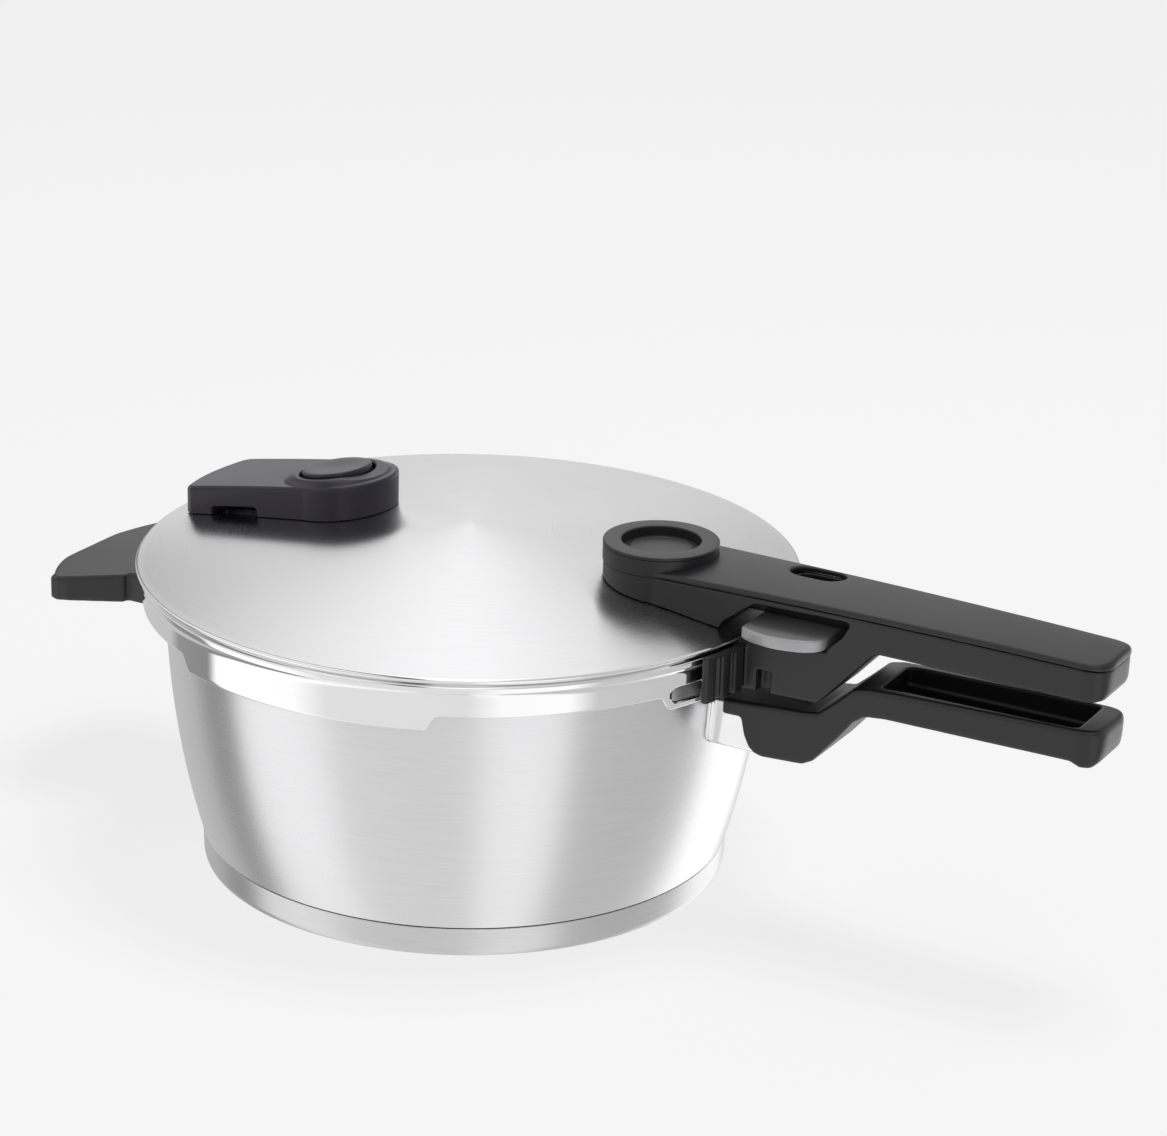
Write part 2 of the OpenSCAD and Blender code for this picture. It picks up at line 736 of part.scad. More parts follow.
module valve_spring() {
  color("#9a9b9e") on_valve() translate([0, 0, -11.4]) coil(stem_r + 1.5, 0.45, 10, 5);
}

pot_body();
base_core();
base_capsule();
pot_bracket();
pot_handle();
pot_handle_screw();
helper_bracket();
helper_handle();
helper_screws();
gasket();
lid_shell();
lid_handle_cover();
lid_handle_base();
hub_disc();
hub_screw();
hub_washer();
cover_screw();
release_key();
lock_flag();
key_spring();
lock_bolt();
float_seat();
float_pin();
float_cap();
valve_housing();
valve_seat();
valve_seal();
valve_nut();
housing_screw();
valve_button();
indicator_sleeve();
valve_stem();
stem_washer();
valve_spring();
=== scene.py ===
# %% [markdown]
# # A stovetop pressure cooker, from its CAD frame to a finished look
# The exact model is loaded first and never moved. Every visible shell is then made again as a
# smooth surface worked out with numpy, in the same place, and rides on the same body, so the
# lid still lifts and turns, the key slides, and the float and the button rise.

# %% Start: load the frame
import json
import math
import bpy
import bmesh
import numpy as np
from mathutils import Matrix, Vector


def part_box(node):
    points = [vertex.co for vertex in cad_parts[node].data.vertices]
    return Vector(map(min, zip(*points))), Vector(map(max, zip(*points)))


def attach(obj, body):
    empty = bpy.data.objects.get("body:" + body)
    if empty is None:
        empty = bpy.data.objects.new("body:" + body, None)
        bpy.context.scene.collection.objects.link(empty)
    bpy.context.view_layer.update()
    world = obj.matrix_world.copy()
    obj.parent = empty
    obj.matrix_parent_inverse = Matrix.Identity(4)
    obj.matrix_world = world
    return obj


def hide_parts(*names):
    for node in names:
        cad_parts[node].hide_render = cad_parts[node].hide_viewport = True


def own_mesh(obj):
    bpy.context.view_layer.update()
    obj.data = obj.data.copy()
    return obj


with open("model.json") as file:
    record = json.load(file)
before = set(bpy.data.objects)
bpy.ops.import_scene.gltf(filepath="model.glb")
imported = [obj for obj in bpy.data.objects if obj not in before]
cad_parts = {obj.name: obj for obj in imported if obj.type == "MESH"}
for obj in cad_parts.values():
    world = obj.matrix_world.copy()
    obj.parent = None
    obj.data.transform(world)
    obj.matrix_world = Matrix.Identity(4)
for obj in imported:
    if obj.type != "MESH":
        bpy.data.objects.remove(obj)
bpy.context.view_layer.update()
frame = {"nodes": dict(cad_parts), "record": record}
MM = 0.001


# %% [markdown]
# ## Sizes
# The shells have to sit exactly on the frame, so the sizes are read from the boxes of the CAD
# nodes. Only sizes that a box cannot tell, such as a wall's thickness, are written here.

# %% Read the main sizes, in millimetres
def node_box(node):
    """Lowest and highest corner of a CAD node, in millimetres."""
    low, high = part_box(node)
    return np.array(low) / MM, np.array(high) / MM


lid_lo, lid_hi = node_box("lid_shell")
pot_hi, cover_hi, base_hi = (
    node_box(n)[1] for n in ("pot_body", "lid_handle_cover", "base_capsule"))
lip_r, apex_z, lug_z = lid_hi[0], lid_hi[2], lid_lo[2]
pot_h, pot_lug_r = pot_hi[2], 119.5
lid_rise = 14.7
lid_z = apex_z - lid_rise
lid_t, pot_wall, base_h = 1.5, 1.2, base_hi[2]
r_out, taper = 113.7, 13.4
skirt_in, skirt_r, skirt_z = lip_r - 3.7, lip_r - 2.5, lid_z - 15
end_x, hub_top = cover_hi[0], cover_hi[2]
hub_x, hub_r = lip_r - 43.8, 21.3
split_z = lid_z + 15.8
belly_z = node_box("pot_handle")[0][2]
deck_z, grip_z = pot_h - 19, pot_h - 5
block_z, beam_z, key_z, key_t = lug_z + 1, lid_z + 3.2, lid_z + 1.1, 4.6
block_x = lip_r + 1.1
helper_z = node_box("helper_handle")[1][2]
valve_x, valve_tilt = 56.6, math.radians(10)
print(f"lid edge radius {lip_r:.1f}, edge height {lid_z:.1f}, handle end {end_x:.1f} mm")


def dome(r):
    """Height of the lid's top at radius r: the rise less its share with the power 1.4 of r."""
    return lid_z + lid_rise * (1 - (np.minimum(r, lip_r) / lip_r) ** 1.4)


def wall_r(z):
    """Outside radius of the pot's wall: full at the rim, drawn in with the power 2.2 below it."""
    return r_out - taper * (np.maximum(pot_h - z, 0) / (pot_h - base_h)) ** 2.2


valve_z = dome(valve_x)

# %% [markdown]
# ## Turned surfaces
# The pot and the lid are spun metal. On a computer that is a profile, given as radius and
# height, carried round the Z axis: one parameter runs along the profile and the other is the
# angle. Whole arrays are computed at once, and the poles are welded afterwards.


# %% Mesh helpers
def make_piece(name, points, faces, materials, face_slots=None, sharp=None, normals=None):
    """A mesh object from points in millimetres, at the origin and unscaled."""
    mesh = bpy.data.meshes.new(name)
    mesh.from_pydata((np.asarray(points, float) * MM).tolist(), [], [list(f) for f in faces])
    for m in materials:
        mesh.materials.append(m)
    if face_slots is not None:
        mesh.polygons.foreach_set("material_index", np.asarray(face_slots, np.int32))
    mesh.polygons.foreach_set("use_smooth", np.ones(len(mesh.polygons), bool))
    if normals is None:
        bm = bmesh.new()
        bm.from_mesh(mesh)
        bmesh.ops.remove_doubles(bm, verts=bm.verts, dist=2e-6)
        bmesh.ops.recalc_face_normals(bm, faces=bm.faces)
        bm.to_mesh(mesh)
        bm.free()
    else:
        mesh.normals_split_custom_set_from_vertices(np.asarray(normals, float).tolist())
    if sharp:
        mesh.set_sharp_from_angle(angle=math.radians(sharp))
    mesh.validate()
    obj = bpy.data.objects.new(name, mesh)
    bpy.context.scene.collection.objects.link(obj)
    print(f"{name}: {len(mesh.polygons)} faces")
    return obj


def place(obj, body, slot, *nodes):
    """Rides on a body and stands for CAD nodes. Its slot, a material slot's name, is not used."""
    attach(obj, body)
    if nodes:
        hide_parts(*nodes)
    return obj


def grid_faces(rows, cols, wrap_rows=False, wrap_cols=False):
    """Four-sided faces of a grid of points numbered row by row."""
    i = np.arange(rows if wrap_rows else rows - 1)[:, None]
    j = np.arange(cols if wrap_cols else cols - 1)[None, :]
    i2, j2 = (i + 1) % rows, (j + 1) % cols
    return np.stack(np.broadcast_arrays(i * cols + j, i2 * cols + j, i2 * cols + j2,
                                        i * cols + j2), -1).reshape(-1, 4)


def turned(profile, start=0.0, stop=360.0, count=360, closed=True):
    """A profile of (radius, height) carried round Z. Less than a full turn gets end caps, and a
    profile that starts and ends on the axis is not closed.
    Point = (radius cos angle, radius sin angle, height)."""
    profile = np.asarray(profile, float)
    full = stop - start >= 360
    a = np.radians(np.linspace(start, stop, count, endpoint=not full))[:, None]
    r, z = profile[:, 0][None, :], profile[:, 1][None, :]
    points = np.stack(np.broadcast_arrays(r * np.cos(a), r * np.sin(a), z), -1).reshape(-1, 3)
    faces = grid_faces(count, len(profile), full, closed).tolist()
    if not full:
        n = len(profile)
        faces += [list(range(n)), list(range((count - 1) * n, count * n))[::-1]]
    return points, faces


def merged(*parts):
    """Joins (points, faces) pairs into one."""
    points, faces, base = [], [], 0
    for p, f in parts:
        points.append(np.asarray(p, float))
        faces += [[int(v) + base for v in face] for face in f]
        base += len(p)
    return np.vstack(points), faces


def rounded(corners, radii, steps=6):
    """A closed outline with each corner replaced by an arc that touches both sides:
    the arc's centre is on the corner's bisector, and its ends are radius / tan(half angle) away."""
    corners = np.asarray(corners, float)
    radii = np.broadcast_to(radii, len(corners))
    out = []
    for p, a, b, r in zip(corners, np.roll(corners, 1, 0), np.roll(corners, -1, 0), radii):
        u, v = (a - p) / np.linalg.norm(a - p), (b - p) / np.linalg.norm(b - p)
        half = math.acos(float(np.clip(u @ v, -1, 1))) / 2
        if r <= 0 or half > 1.55:
            out.append(p[None, :])
            continue
        reach = min(r / math.tan(half), 0.49 * np.linalg.norm(a - p), 0.49 * np.linalg.norm(b - p))
        t = np.linspace(0, 1, steps)[:, None]
        p0, p2 = p + u * reach, p + v * reach
        out.append((1 - t) ** 2 * p0 + 2 * t * (1 - t) * p + t ** 2 * p2)
    return np.vstack(out)


# %% [markdown]
# ## Moulded surfaces
# A moulded handle has soft edges where two faces meet and hollows cut into it. A distance field
# does that well: for every point of a grid it holds how far the point is inside (below zero) or
# outside. Two fields combine into one with a rounded edge, and the surface is where the field
# is zero. Its slope also gives smooth normals, so large faces shine evenly.

# %% Distance fields
def outline_distance(points, a, b):
    """Signed distance from (a, b) to a closed outline: the nearest side's distance, below zero
    where a ray crosses the outline an odd number of times."""
    points = np.asarray(points, float)
    best = np.full(np.broadcast_shapes(a.shape, b.shape), 1e9)
    inside = np.zeros(best.shape, bool)
    for p, q in zip(points, np.roll(points, -1, 0)):
        d = q - p
        if d @ d < 1e-12:
            continue
        t = np.clip(((a - p[0]) * d[0] + (b - p[1]) * d[1]) / (d @ d), 0, 1)
        best = np.minimum(best, (a - p[0] - t * d[0]) ** 2 + (b - p[1] - t * d[1]) ** 2)
        if abs(d[1]) > 1e-12:
            inside ^= ((p[1] > b) != (q[1] > b)) & (a < d[0] * (b - p[1]) / d[1] + p[0])
    return np.where(inside, -1, 1) * np.sqrt(best)


def both(a, b, r=0.0):
    """What is in both fields, with the edge rounded by r."""
    if r <= 0:
        return np.maximum(a, b)
    return np.minimum(np.maximum(a, b), -r) + np.hypot(np.maximum(a + r, 0), np.maximum(b + r, 0))


def without(a, b, r=0.0):
    """Field a with b cut away."""
    return both(a, -b, r)


def either(a, b, r=0.0):
    """What is in one field or the other, with the inner corner filled by r."""
    return -both(-a, -b, r)


def box_distance(x, y, z, low, high, r=0.0):
    """Signed distance to a box whose edges are rounded by r."""
    low, high = np.asarray(low, float), np.asarray(high, float)
    c, h = (low + high) / 2, (high - low) / 2 - r
    q = [np.abs(v - c[k]) - h[k] for k, v in enumerate((x, y, z))]
    out = np.sqrt(sum(np.maximum(v, 0) ** 2 for v in q))
    return out + np.minimum(np.maximum(np.maximum(q[0], q[1]), q[2]), 0) - r


def field_surface(field, low, step):
    """The surface where a sampled field is zero. A cell with corners on both sides gets a point
    at the mean of its edges' crossings, and each crossed grid edge joins its four cells' points.
    Each point then moves along the slope onto the surface, and the slope is its normal."""
    f = np.asarray(field, float)
    n = np.array(f.shape) - 1
    total, hits = np.zeros((*n, 3)), np.zeros(n)
    corner = {c: f[c[0]:n[0] + c[0], c[1]:n[1] + c[1], c[2]:n[2] + c[2]]
              for c in [(i, j, k) for i in (0, 1) for j in (0, 1) for k in (0, 1)]}
    for c, va in corner.items():
        for axis in range(3):
            if c[axis]:
                continue
            d = tuple(1 if i == axis else c[i] for i in range(3))
            vb = corner[d]
            crossed = (va < 0) != (vb < 0)
            t = np.where(crossed, va / np.where(crossed, va - vb, 1), 0)
            hits += crossed
            for i in range(3):
                total[..., i] += crossed * (c[i] + (t if i == axis else 0))
    cell = np.argwhere(hits > 0)
    number = np.full(n, -1)
    number[tuple(cell.T)] = np.arange(len(cell))
    points = cell + total[tuple(cell.T)] / hits[tuple(cell.T)][:, None]
    quads = []
    for axis in range(3):
        u, v = (axis + 1) % 3, (axis + 2) % 3
        a = np.take(f, range(n[axis]), axis)
        b = np.take(f, range(1, n[axis] + 1), axis)
        e = np.argwhere((a < 0) != (b < 0))
        e = e[(e[:, u] > 0) & (e[:, v] > 0) & (e[:, u] < n[u]) & (e[:, v] < n[v])]
        four = []
        for du, dv in ((1, 1), (0, 1), (0, 0), (1, 0)):
            s = e.copy()
            s[:, u] -= du
            s[:, v] -= dv
            four.append(number[tuple(s.T)])
        q = np.stack(four, 1)
        flip = ~(a[tuple(e.T)] < 0)
        q[flip] = q[flip][:, ::-1]
        quads.append(q)
    slope = np.stack(np.gradient(f, step), -1)

    def sample(values, p):
        """Values between grid points, by three linear steps."""
        i = np.clip(np.floor(p).astype(int), 0, n - 1)
        t = p - i
        out = 0
        for c in corner:
            w = np.prod([t[:, k] if c[k] else 1 - t[:, k] for k in range(3)], 0)
            v = values[i[:, 0] + c[0], i[:, 1] + c[1], i[:, 2] + c[2]]
            out = out + (w[:, None] * v if v.ndim > 1 else w * v)
        return out

    for _ in range(2):
        g = sample(slope, points)
        g /= np.maximum(np.linalg.norm(g, axis=1), 1e-6)[:, None]
        points = points - np.clip(sample(f, points), -step / 2, step / 2)[:, None] * g / step * 0.8
    g = sample(slope, points)
    g /= np.maximum(np.linalg.norm(g, axis=1), 1e-6)[:, None]
    return np.asarray(low, float) + points * step, np.vstack(quads), g


def sampled(low, high, step):
    """The three coordinate arrays of a grid, shaped to combine into a block."""
    axes = [np.arange(a, b + step, step) for a, b in zip(low, high)]
    return axes[0][:, None, None], axes[1][None, :, None], axes[2][None, None, :]


def moulded(name, field_of, low, high, step, material):
    """A piece from its distance field between two corners."""
    x, y, z = sampled(low, high, step)
    field = field_of(x, y, z) + 0 * x + 0 * y + 0 * z
    field[[0, -1]] = np.maximum(field[[0, -1]], 0.01)
    field[:, [0, -1]] = np.maximum(field[:, [0, -1]], 0.01)
    field[:, :, [0, -1]] = np.maximum(field[:, :, [0, -1]], 0.01)
    points, faces, normals = field_surface(field, low, step)
    return make_piece(name, points, faces.tolist(), [material], normals=normals)


# %% [markdown]
# ## Finishes
# Spun and brushed steel carries fine rings round the axis. A shared node group turns Object
# coordinates into radius, angle and height and stretches a noise along the angle, so the same
# group serves the dome and the wall. The rings also stretch reflections, which is what the
# anisotropy and the tangent round Z are for. Moulded plastic gets another group: a fine grain
# for the bump and a slow cloud for the gloss.

# %% Node helpers
def new_group(name, inputs, outputs):
    """An empty shader node group with named float sockets."""
    g = bpy.data.node_groups.new(name, "ShaderNodeTree")
    for n, v in inputs:
        s = g.interface.new_socket(name=n, in_out="INPUT", socket_type="NodeSocketFloat")
        s.default_value = v
    for n in outputs:
        g.interface.new_socket(name=n, in_out="OUTPUT", socket_type="NodeSocketFloat")
    return g, g.nodes.new("NodeGroupInput"), g.nodes.new("NodeGroupOutput")


def maths(tree, op, a, b=None, c=None):
    """A Math node fed by sockets or numbers."""
    n = tree.nodes.new("ShaderNodeMath")
    n.operation = op
    for i, v in enumerate((a, b, c)):
        if v is None:
            continue
        if isinstance(v, (int, float)):
            n.inputs[i].default_value = v
        else:
            tree.links.new(v, n.inputs[i])
    return n.outputs[0]


# %% Group: rings left by turning and brushing
turned_grain, gin, gout = new_group("TurnedGrain", [("Rings per metre", 3000.0)],
                                    ["Grain", "Cloud"])
coord = turned_grain.nodes.new("ShaderNodeTexCoord")
split = turned_grain.nodes.new("ShaderNodeSeparateXYZ")
turned_grain.links.new(coord.outputs["Object"], split.inputs[0])
gx, gy, gz = split.outputs
radius = maths(turned_grain, "SQRT", maths(
    turned_grain, "ADD", maths(turned_grain, "MULTIPLY", gx, gx),
    maths(turned_grain, "MULTIPLY", gy, gy)))
angle = maths(turned_grain, "ARCTAN2", gy, gx)
comb = turned_grain.nodes.new("ShaderNodeCombineXYZ")
turned_grain.links.new(maths(turned_grain, "MULTIPLY", radius, gin.outputs[0]), comb.inputs[0])
turned_grain.links.new(maths(turned_grain, "MULTIPLY", angle, 5.0), comb.inputs[1])
turned_grain.links.new(maths(turned_grain, "MULTIPLY", gz, gin.outputs[0]), comb.inputs[2])
rings = turned_grain.nodes.new("ShaderNodeTexNoise")
rings.inputs["Scale"].default_value = 1.0
rings.inputs["Detail"].default_value = 3.0
turned_grain.links.new(comb.outputs[0], rings.inputs["Vector"])
cloud = turned_grain.nodes.new("ShaderNodeTexNoise")
cloud.inputs["Scale"].default_value = 9.0
turned_grain.links.new(coord.outputs["Object"], cloud.inputs["Vector"])
turned_grain.links.new(rings.outputs[0], gout.inputs["Grain"])
turned_grain.links.new(cloud.outputs[0], gout.inputs["Cloud"])

# %% Group: grain of a moulded surface
moulded_grain, gin, gout = new_group("MouldedGrain", [("Fineness", 2600.0)], ["Grain", "Cloud"])
coord = moulded_grain.nodes.new("ShaderNodeTexCoord")
fine = moulded_grain.nodes.new("ShaderNodeTexNoise")
fine.inputs["Detail"].default_value = 2.0
moulded_grain.links.new(coord.outputs["Object"], fine.inputs["Vector"])
moulded_grain.links.new(gin.outputs[0], fine.inputs["Scale"])
slow = moulded_grain.nodes.new("ShaderNodeTexNoise")
slow.inputs["Scale"].default_value = 22.0
moulded_grain.links.new(coord.outputs["Object"], slow.inputs["Vector"])
moulded_grain.links.new(fine.outputs[0], gout.inputs["Grain"])
moulded_grain.links.new(slow.outputs[0], gout.inputs["Cloud"])


# %% One material from a base colour, a gloss and a group
FINISHES = {}
ACROSS_BRUSHING = 0.25  # a quarter turn, so highlights stretch across the brushing


def finish(name, colour, rough, metallic, group, fineness, bump, swing=0.04, turn=0.0,
           tint=0.06, specular=0.5):
    """A Principled material, kept in FINISHES: the group's grain moves the colour and drives a
    bump of that depth in metres, and its cloud and grain move the roughness by swing."""
    m = FINISHES[name] = bpy.data.materials.new(name)
    m.use_nodes = True
    t = m.node_tree
    p = t.nodes["Principled BSDF"]
    p.inputs["Metallic"].default_value = metallic
    p.inputs["Specular IOR Level"].default_value = specular
    g = t.nodes.new("ShaderNodeGroup")
    g.node_tree = group
    g.inputs[0].default_value = fineness
    ramp = t.nodes.new("ShaderNodeValToRGB")
    low = [c * (1 - tint) for c in colour]
    high = [min(c * (1 + tint), 1) for c in colour]
    ramp.color_ramp.elements[0].position, ramp.color_ramp.elements[1].position = 0.3, 0.7
    ramp.color_ramp.elements[0].color = (*low, 1)
    ramp.color_ramp.elements[1].color = (*high, 1)
    t.links.new(g.outputs["Grain"], ramp.inputs[0])
    t.links.new(ramp.outputs[0], p.inputs["Base Color"])
    uneven = maths(t, "ADD", maths(t, "MULTIPLY", g.outputs["Grain"], swing),
                   maths(t, "MULTIPLY", g.outputs["Cloud"], swing))
    t.links.new(maths(t, "ADD", uneven, rough - swing), p.inputs["Roughness"])
    if bump:
        b = t.nodes.new("ShaderNodeBump")
        b.inputs["Strength"].default_value = 1.0
        b.inputs["Distance"].default_value = bump
        t.links.new(g.outputs["Grain"], b.inputs["Height"])
        t.links.new(b.outputs[0], p.inputs["Normal"])
    if turn:
        p.inputs["Anisotropic"].default_value = turn
        p.inputs["Anisotropic Rotation"].default_value = ACROSS_BRUSHING
        tangent = t.nodes.new("ShaderNodeTangent")
        tangent.direction_type, tangent.axis = "RADIAL", "Z"
        t.links.new(tangent.outputs[0], p.inputs["Tangent"])
    return m


body_steel = finish("body_steel", (0.75, 0.75, 0.76), 0.28, 1, turned_grain, 2600, 2e-6,
                    swing=0.06, turn=0.7, tint=0.03)
base_steel = finish("base_steel", (0.66, 0.66, 0.665), 0.34, 1, turned_grain, 2200, 2e-6,
                    swing=0.06, turn=0.6, tint=0.04)
lid_steel = finish("lid_steel", (0.72, 0.72, 0.73), 0.26, 1, turned_grain, 3000, 8e-7,
                   swing=0.06, turn=0.8, tint=0.03)
polished_steel = finish("polished_steel", (0.86, 0.86, 0.865), 0.07, 1, turned_grain, 300, 3e-6,
                        swing=0.02, tint=0.01)
finish("core_aluminium", (0.70, 0.70, 0.71), 0.45, 1, moulded_grain, 900, 5e-6)
finish("screw_steel", (0.62, 0.62, 0.63), 0.25, 1, moulded_grain, 1500, 2e-6)
spring_steel = finish("spring_steel", (0.55, 0.55, 0.56), 0.22, 1, moulded_grain, 1500, 2e-6)
handle_black = finish("handle_black", (0.011, 0.011, 0.013), 0.38, 0, moulded_grain, 2400, 1.2e-5,
                      swing=0.08, tint=0.12)
disc_black = finish("disc_black", (0.016, 0.016, 0.018), 0.36, 0, moulded_grain, 3000, 1e-5,
                    swing=0.06, tint=0.1)
valve_black = finish("valve_black", (0.024, 0.020, 0.034), 0.30, 0, moulded_grain, 2600, 1e-5,
                     swing=0.06, tint=0.1, specular=0.35)
key_silver = finish("key_silver", (0.46, 0.46, 0.47), 0.34, 0.35, moulded_grain, 2600, 6e-6,
                    swing=0.05, tint=0.04)
silicone_grey = finish("silicone_grey", (0.16, 0.16, 0.17), 0.55, 0, moulded_grain, 1800, 1e-5)
finish("silicone_white", (0.85, 0.85, 0.84), 0.5, 0, moulded_grain, 1800, 1e-5, tint=0.03)
sleeve_white = finish("sleeve_white", (0.86, 0.86, 0.85), 0.25, 0, moulded_grain, 1800, 4e-6,
                      tint=0.02)
finish("flag_green", (0.09, 0.40, 0.14), 0.4, 0, moulded_grain, 1800, 6e-6)
finish("cap_red", (0.62, 0.10, 0.05), 0.35, 0, moulded_grain, 1800, 6e-6)

for part in frame["record"]["subparts"]:
    node = frame["nodes"][part["node"]]
    node.data.materials.clear()
    node.data.materials.append(FINISHES[part["material_slot"]])
print("finishes:", len(FINISHES))

# %% [markdown]
# ## The lid
# One pressed sheet: a satin dome, a lip turned over at its edge, and a polished skirt that
# reaches lower where it carries a lug. The profile is the same all round except for the height
# of the skirt's lower edge, so the sheet is one grid of profile by angle, and that height is a
# function of the angle: a smooth step up and down at each lug.

# %% Lid: dome, lip and skirt
LUG_MID, LUG_HALF, LUG_STEP, WINDOW = 29.5, 25.0, 120, -19.7


def smooth(t):
    """0 below 0, 1 above 1, and 3t^2 - 2t^3 between."""
    t = np.clip(t, 0, 1)
    return t * t * (3 - 2 * t)


def skirt_edge(deg):
    """Height of the skirt's lower edge at an angle in degrees."""
    lobe = 0
    for mid, half in [(LUG_MID + LUG_STEP * i, LUG_HALF) for i in range(3)] + [(WINDOW + 2.5, 7.5)]:
        away = np.abs((deg - mid + 180) % 360 - 180)
        lobe = np.maximum(lobe, smooth((half + 1.1 - away) / 2.2))
    return skirt_z - (skirt_z - lug_z) * lobe


def arc(cx, cz, r, a0, a1, n=7):
    """Points of an arc in the profile's plane, angles in degrees."""
    a = np.radians(np.linspace(a0, a1, n))
    return np.stack([cx + r * np.cos(a), cz + r * np.sin(a)], -1)


r_dome = np.linspace(0, lip_r - 1.2, 44)
top = np.stack([r_dome, dome(r_dome)], -1)
lip = arc(lip_r - 0.85, dome(lip_r - 0.85) - 0.83, 0.85, 76, -90, 12)
under_lip = rounded([[lip_r - 1.2, lip[-1, 1]], [lip_r - 2.9, lip[-1, 1] - 0.05],
                     [lip_r - 2.9, lid_z - 2.5], [lip_r - 1.3, lid_z - 3.5],
                     [lip_r - 1.25, lid_z - 5.4], [lip_r - 2.0, lid_z - 6.3],
                     [skirt_r, lid_z - 7.4]], [0, 0.4, 0.5, 0.8, 0.8, 0.8, 0], 5)
n_free = 12
count = 540
deg = np.linspace(0, 360, count, endpoint=False)[:, None]
edge = skirt_edge(deg)
t = np.linspace(0, 1, n_free)[None, 1:]
outer_z = under_lip[-1, 1] + (edge + 0.6 - under_lip[-1, 1]) * t
bead = arc(skirt_r - 0.6, 0.6, 0.6, 0, -180, 8)[1:-1]
inner_top = lid_z - 4.0
inner_z = edge + 0.6 + (inner_top - edge - 0.6) * np.linspace(0, 1, n_free)[None, :]
r_under = np.linspace(skirt_in - 1.6, 0, 28)
under = np.vstack([[skirt_in - 0.4, lid_z - 2.6], np.stack([r_under, dome(r_under) - lid_t], -1)])
fixed = np.vstack([top, lip, under_lip])
r_all = np.concatenate([fixed[:, 0], np.full(n_free - 1, skirt_r), bead[:, 0],
                        np.full(n_free, skirt_in), under[:, 0]])
z_all = np.concatenate([np.broadcast_to(fixed[:, 1], (count, len(fixed))), outer_z,
                        edge + bead[:, 1][None, :], inner_z,
                        np.broadcast_to(under[:, 1], (count, len(under)))], 1)
a = np.radians(deg)
points = np.stack([r_all * np.cos(a), r_all * np.sin(a), z_all], -1).reshape(-1, 3)
faces = grid_faces(count, len(r_all), True, False)
row = np.tile(np.arange(len(r_all) - 1), count)
shiny = ((row >= len(top)) & (row < len(r_all) - len(under) - 1)).astype(int)
lug_in, lug_top = r_out + 1.6, lug_z + 7.6
hook = rounded([[lug_in, lug_z + 0.1], [skirt_in + 0.4, lug_z + 0.1], [skirt_in + 0.4, lug_z + 1.2],
                [lug_in + 1.2, lug_z + 1.2], [lug_in + 1.2, lug_top], [lug_in, lug_top]],
               [1.0, 0, 0, 0.3, 0.5, 0.5], 5)
hooks = [turned(hook, mid - LUG_HALF + 0.6, mid + LUG_HALF - 0.6, 60)
         for mid in (LUG_MID, LUG_MID + LUG_STEP, LUG_MID + 2 * LUG_STEP)]
p, f = merged((points, faces), *hooks)
lid = make_piece("lid_sheet", p, f, [lid_steel, polished_steel],
                 np.concatenate([shiny, np.ones(len(f) - len(faces), int)]), sharp=40)

# %% Lid: the safety window is cut through the skirt
slot_half, slot_r = 5.0, 2.9
end = np.radians(np.linspace(-90, 90, 12))
outline = np.vstack([np.stack([slot_half + slot_r * np.cos(end), slot_r * np.sin(end)], -1),
                     np.stack([-slot_half - slot_r * np.cos(end), -slot_r * np.sin(end)], -1)])
w = math.radians(WINDOW)
loops = [np.stack([np.full(len(outline), x), outline[:, 0], skirt_z + outline[:, 1]], -1)
         for x in (skirt_in - 4, skirt_r + 3)]
pp = np.vstack(loops)
pp = np.stack([pp[:, 0] * math.cos(w) - pp[:, 1] * math.sin(w),
               pp[:, 0] * math.sin(w) + pp[:, 1] * math.cos(w), pp[:, 2]], -1)
m = len(outline)
cutter = make_piece("window_cutter", pp, grid_faces(2, m, False, True).tolist()
                    + [list(range(m)), list(range(m, 2 * m))], [polished_steel])
cut = lid.modifiers.new("window", "BOOLEAN")
cut.operation, cut.object, cut.solver = "DIFFERENCE", cutter, "EXACT"
bpy.context.view_layer.update()
done = bpy.data.meshes.new_from_object(lid.evaluated_get(bpy.context.evaluated_depsgraph_get()))
lid.modifiers.clear()
lid.data = done
bpy.data.objects.remove(cutter)
print("lid after the cut:", len(lid.data.polygons), "faces")
place(lid, "lid", "lid_steel", "lid_shell")

# %% [markdown]
# ## The pot
# A drawn pan: the wall bellies in towards the base, and the rim is rolled outward. The bayonet
# lugs stand out under the rim. The capsule base is a separate pressed cup, with a fine open
# seam above it, and is turned on its own.

# %% Pot wall, rim and lugs
z_wall = np.linspace(base_h + 0.6, pot_h - 5, 40)
base_r = r_out - taper - 0.2
floor_z = 7.5
outer = np.vstack([[[0, floor_z], [base_r - 8, floor_z], [base_r - 4, floor_z + 0.7],
                    [base_r - 2.4, floor_z + 2], [base_r - 1.2, base_h + 0.2]],
                   np.stack([wall_r(z_wall), z_wall], -1),
                   rounded([[r_out, pot_h - 4.4], [r_out + 0.9, pot_h - 3.2], [r_out + 0.9, pot_h],
                            [r_out - pot_wall, pot_h]], [0, 0.8, 0.7, 0.6], 6)])
z_in = z_wall[::-1][:-4]
inner = np.vstack([np.stack([wall_r(z_in) - pot_wall, z_in], -1),
                   rounded([[wall_r(z_in[-1]) - 1.4, z_in[-1] - 1.0],
                            [base_r - 5, floor_z + pot_wall + 0.2],
                            [base_r - 16, floor_z + pot_wall]], [0, 9, 0], 10),
                   [[0, floor_z + pot_wall]]])
profile = np.vstack([outer, inner])
lug_profile = rounded([[r_out - 0.6, pot_h - 7.4], [pot_lug_r, pot_h - 7.4],
                       [pot_lug_r, pot_h - 0.4], [r_out - 0.6, pot_h - 0.4]], [0, 0.9, 0.9, 0], 5)
pot_lug_half = 32
lugs = [turned(lug_profile, mid - pot_lug_half, mid + pot_lug_half, 72)
        for mid in (LUG_MID, LUG_MID + LUG_STEP, LUG_MID + 2 * LUG_STEP)]
p, f = merged(turned(profile, count=480, closed=False), *lugs)
